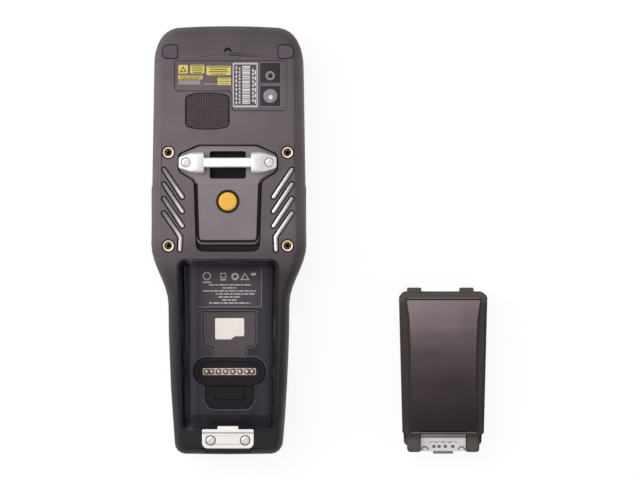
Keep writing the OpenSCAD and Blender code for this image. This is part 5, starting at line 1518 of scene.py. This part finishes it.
@dataclass
class Studio:
    """Floor, lights and camera, as in the photograph."""

    aim: Point = (46.4, 0.0)
    mm_per_px: float = 0.5035
    photo_w: int = 640
    distance: float = 1200.0
    back_z: float = 33.0
    sky: float = 0.5
    floor_z: float = -0.3
    floor_reach: float = 4000.0
    floor_glow: float = 1.06
    floor_seen: float = 0.84

    def floor(self) -> None:
        """A plain pale floor that the camera sees as white, with the object's shadow on it."""
        mesh = bpy.data.meshes.new("floor")
        far = self.floor_reach
        corners = [(x, y, self.floor_z) for x, y in ((-far, -far), (far, -far), (far, far), (-far, far))]
        mesh.from_pydata([Vector(p) * MM for p in corners], [], [(0, 1, 2, 3)])
        obj = linked("floor", mesh)
        material = bpy.data.materials.new("floor_white")
        material.use_nodes = True
        wires = Wires(material.node_tree)
        shader = wires.tree.nodes["Principled BSDF"]
        wires.feed(shader, {"Base Color": (0.95, 0.95, 0.95, 1), "Roughness": 0.9, "Specular IOR Level": 0.1})
        glow = wires.add("ShaderNodeEmission", {"Strength": self.floor_glow})
        share = wires.math("MULTIPLY", wires.seen(), self.floor_seen)
        mix = wires.add("ShaderNodeMixShader", {0: share, 1: shader.outputs[0], 2: glow.outputs[0]})
        wires.feed(wires.tree.nodes["Material Output"], {0: mix.outputs[0]})
        obj.data.materials.append(material)

    def lamp(self, name: str, at: Sequence[float], size: float, power: float) -> None:
        """A square area light at a place in metres, aimed at the middle of the object."""
        data = bpy.data.lights.new(name, "AREA")
        data.size, data.energy = size, power
        obj = linked(name, data)
        obj.location = at
        obj.rotation_euler = (-Vector(at)).to_track_quat("-Z", "Y").to_euler()

    def light(self) -> None:
        """Soft light from the upper left, and an even sky that gloss sees as white."""
        world = bpy.data.worlds.new("studio")
        bpy.context.scene.world = world
        world.use_nodes = True
        wires = Wires(world.node_tree)
        sky = wires.tree.nodes["Background"]
        wires.feed(sky, {"Strength": self.sky, "Color": (1, 1, 1, 1)})
        white = wires.add("ShaderNodeBackground", {"Strength": 1.0})
        mix = wires.add("ShaderNodeMixShader", {0: wires.seen(), 1: sky.outputs[0], 2: white.outputs[0]})
        wires.feed(wires.tree.nodes["World Output"], {0: mix.outputs[0]})
        self.lamp("key", (-0.6, 0.55, 1.4), 1.2, 10)
        self.lamp("side", (-1.2, 0.1, 0.5), 0.8, 4)

    def camera(self) -> None:
        """A camera straight above, framed as the photograph is."""
        data = bpy.data.cameras.new("camera")
        data.sensor_width = 36.0
        data.lens = data.sensor_width * self.distance / (self.photo_w * self.mm_per_px)
        data.clip_start, data.clip_end = 0.1, 20
        obj = linked("camera", data)
        obj.location = Vector((*self.aim, self.back_z + self.distance)) * MM
        bpy.context.scene.camera = obj

    def build(self) -> None:
        """Makes the whole studio."""
        self.floor()
        self.light()
        self.camera()
        bpy.context.scene.view_settings.view_transform = "Standard"


def main() -> None:
    """Builds every sub-assembly in order."""
    logging.basicConfig(level=logging.INFO, format="%(name)s: %(message)s")
    assemblies: Iterable[Assembly] = (Housings(), LabelField(), HeadFittings(), StrapMount(), Triggers(),
                                      BackFittings(), BatteryBay(), Keypad(), Front(), Ends(), BatteryPack())
    for assembly in assemblies:
        assembly.build()
    Studio().build()


if __name__ == "__main__":
    main()
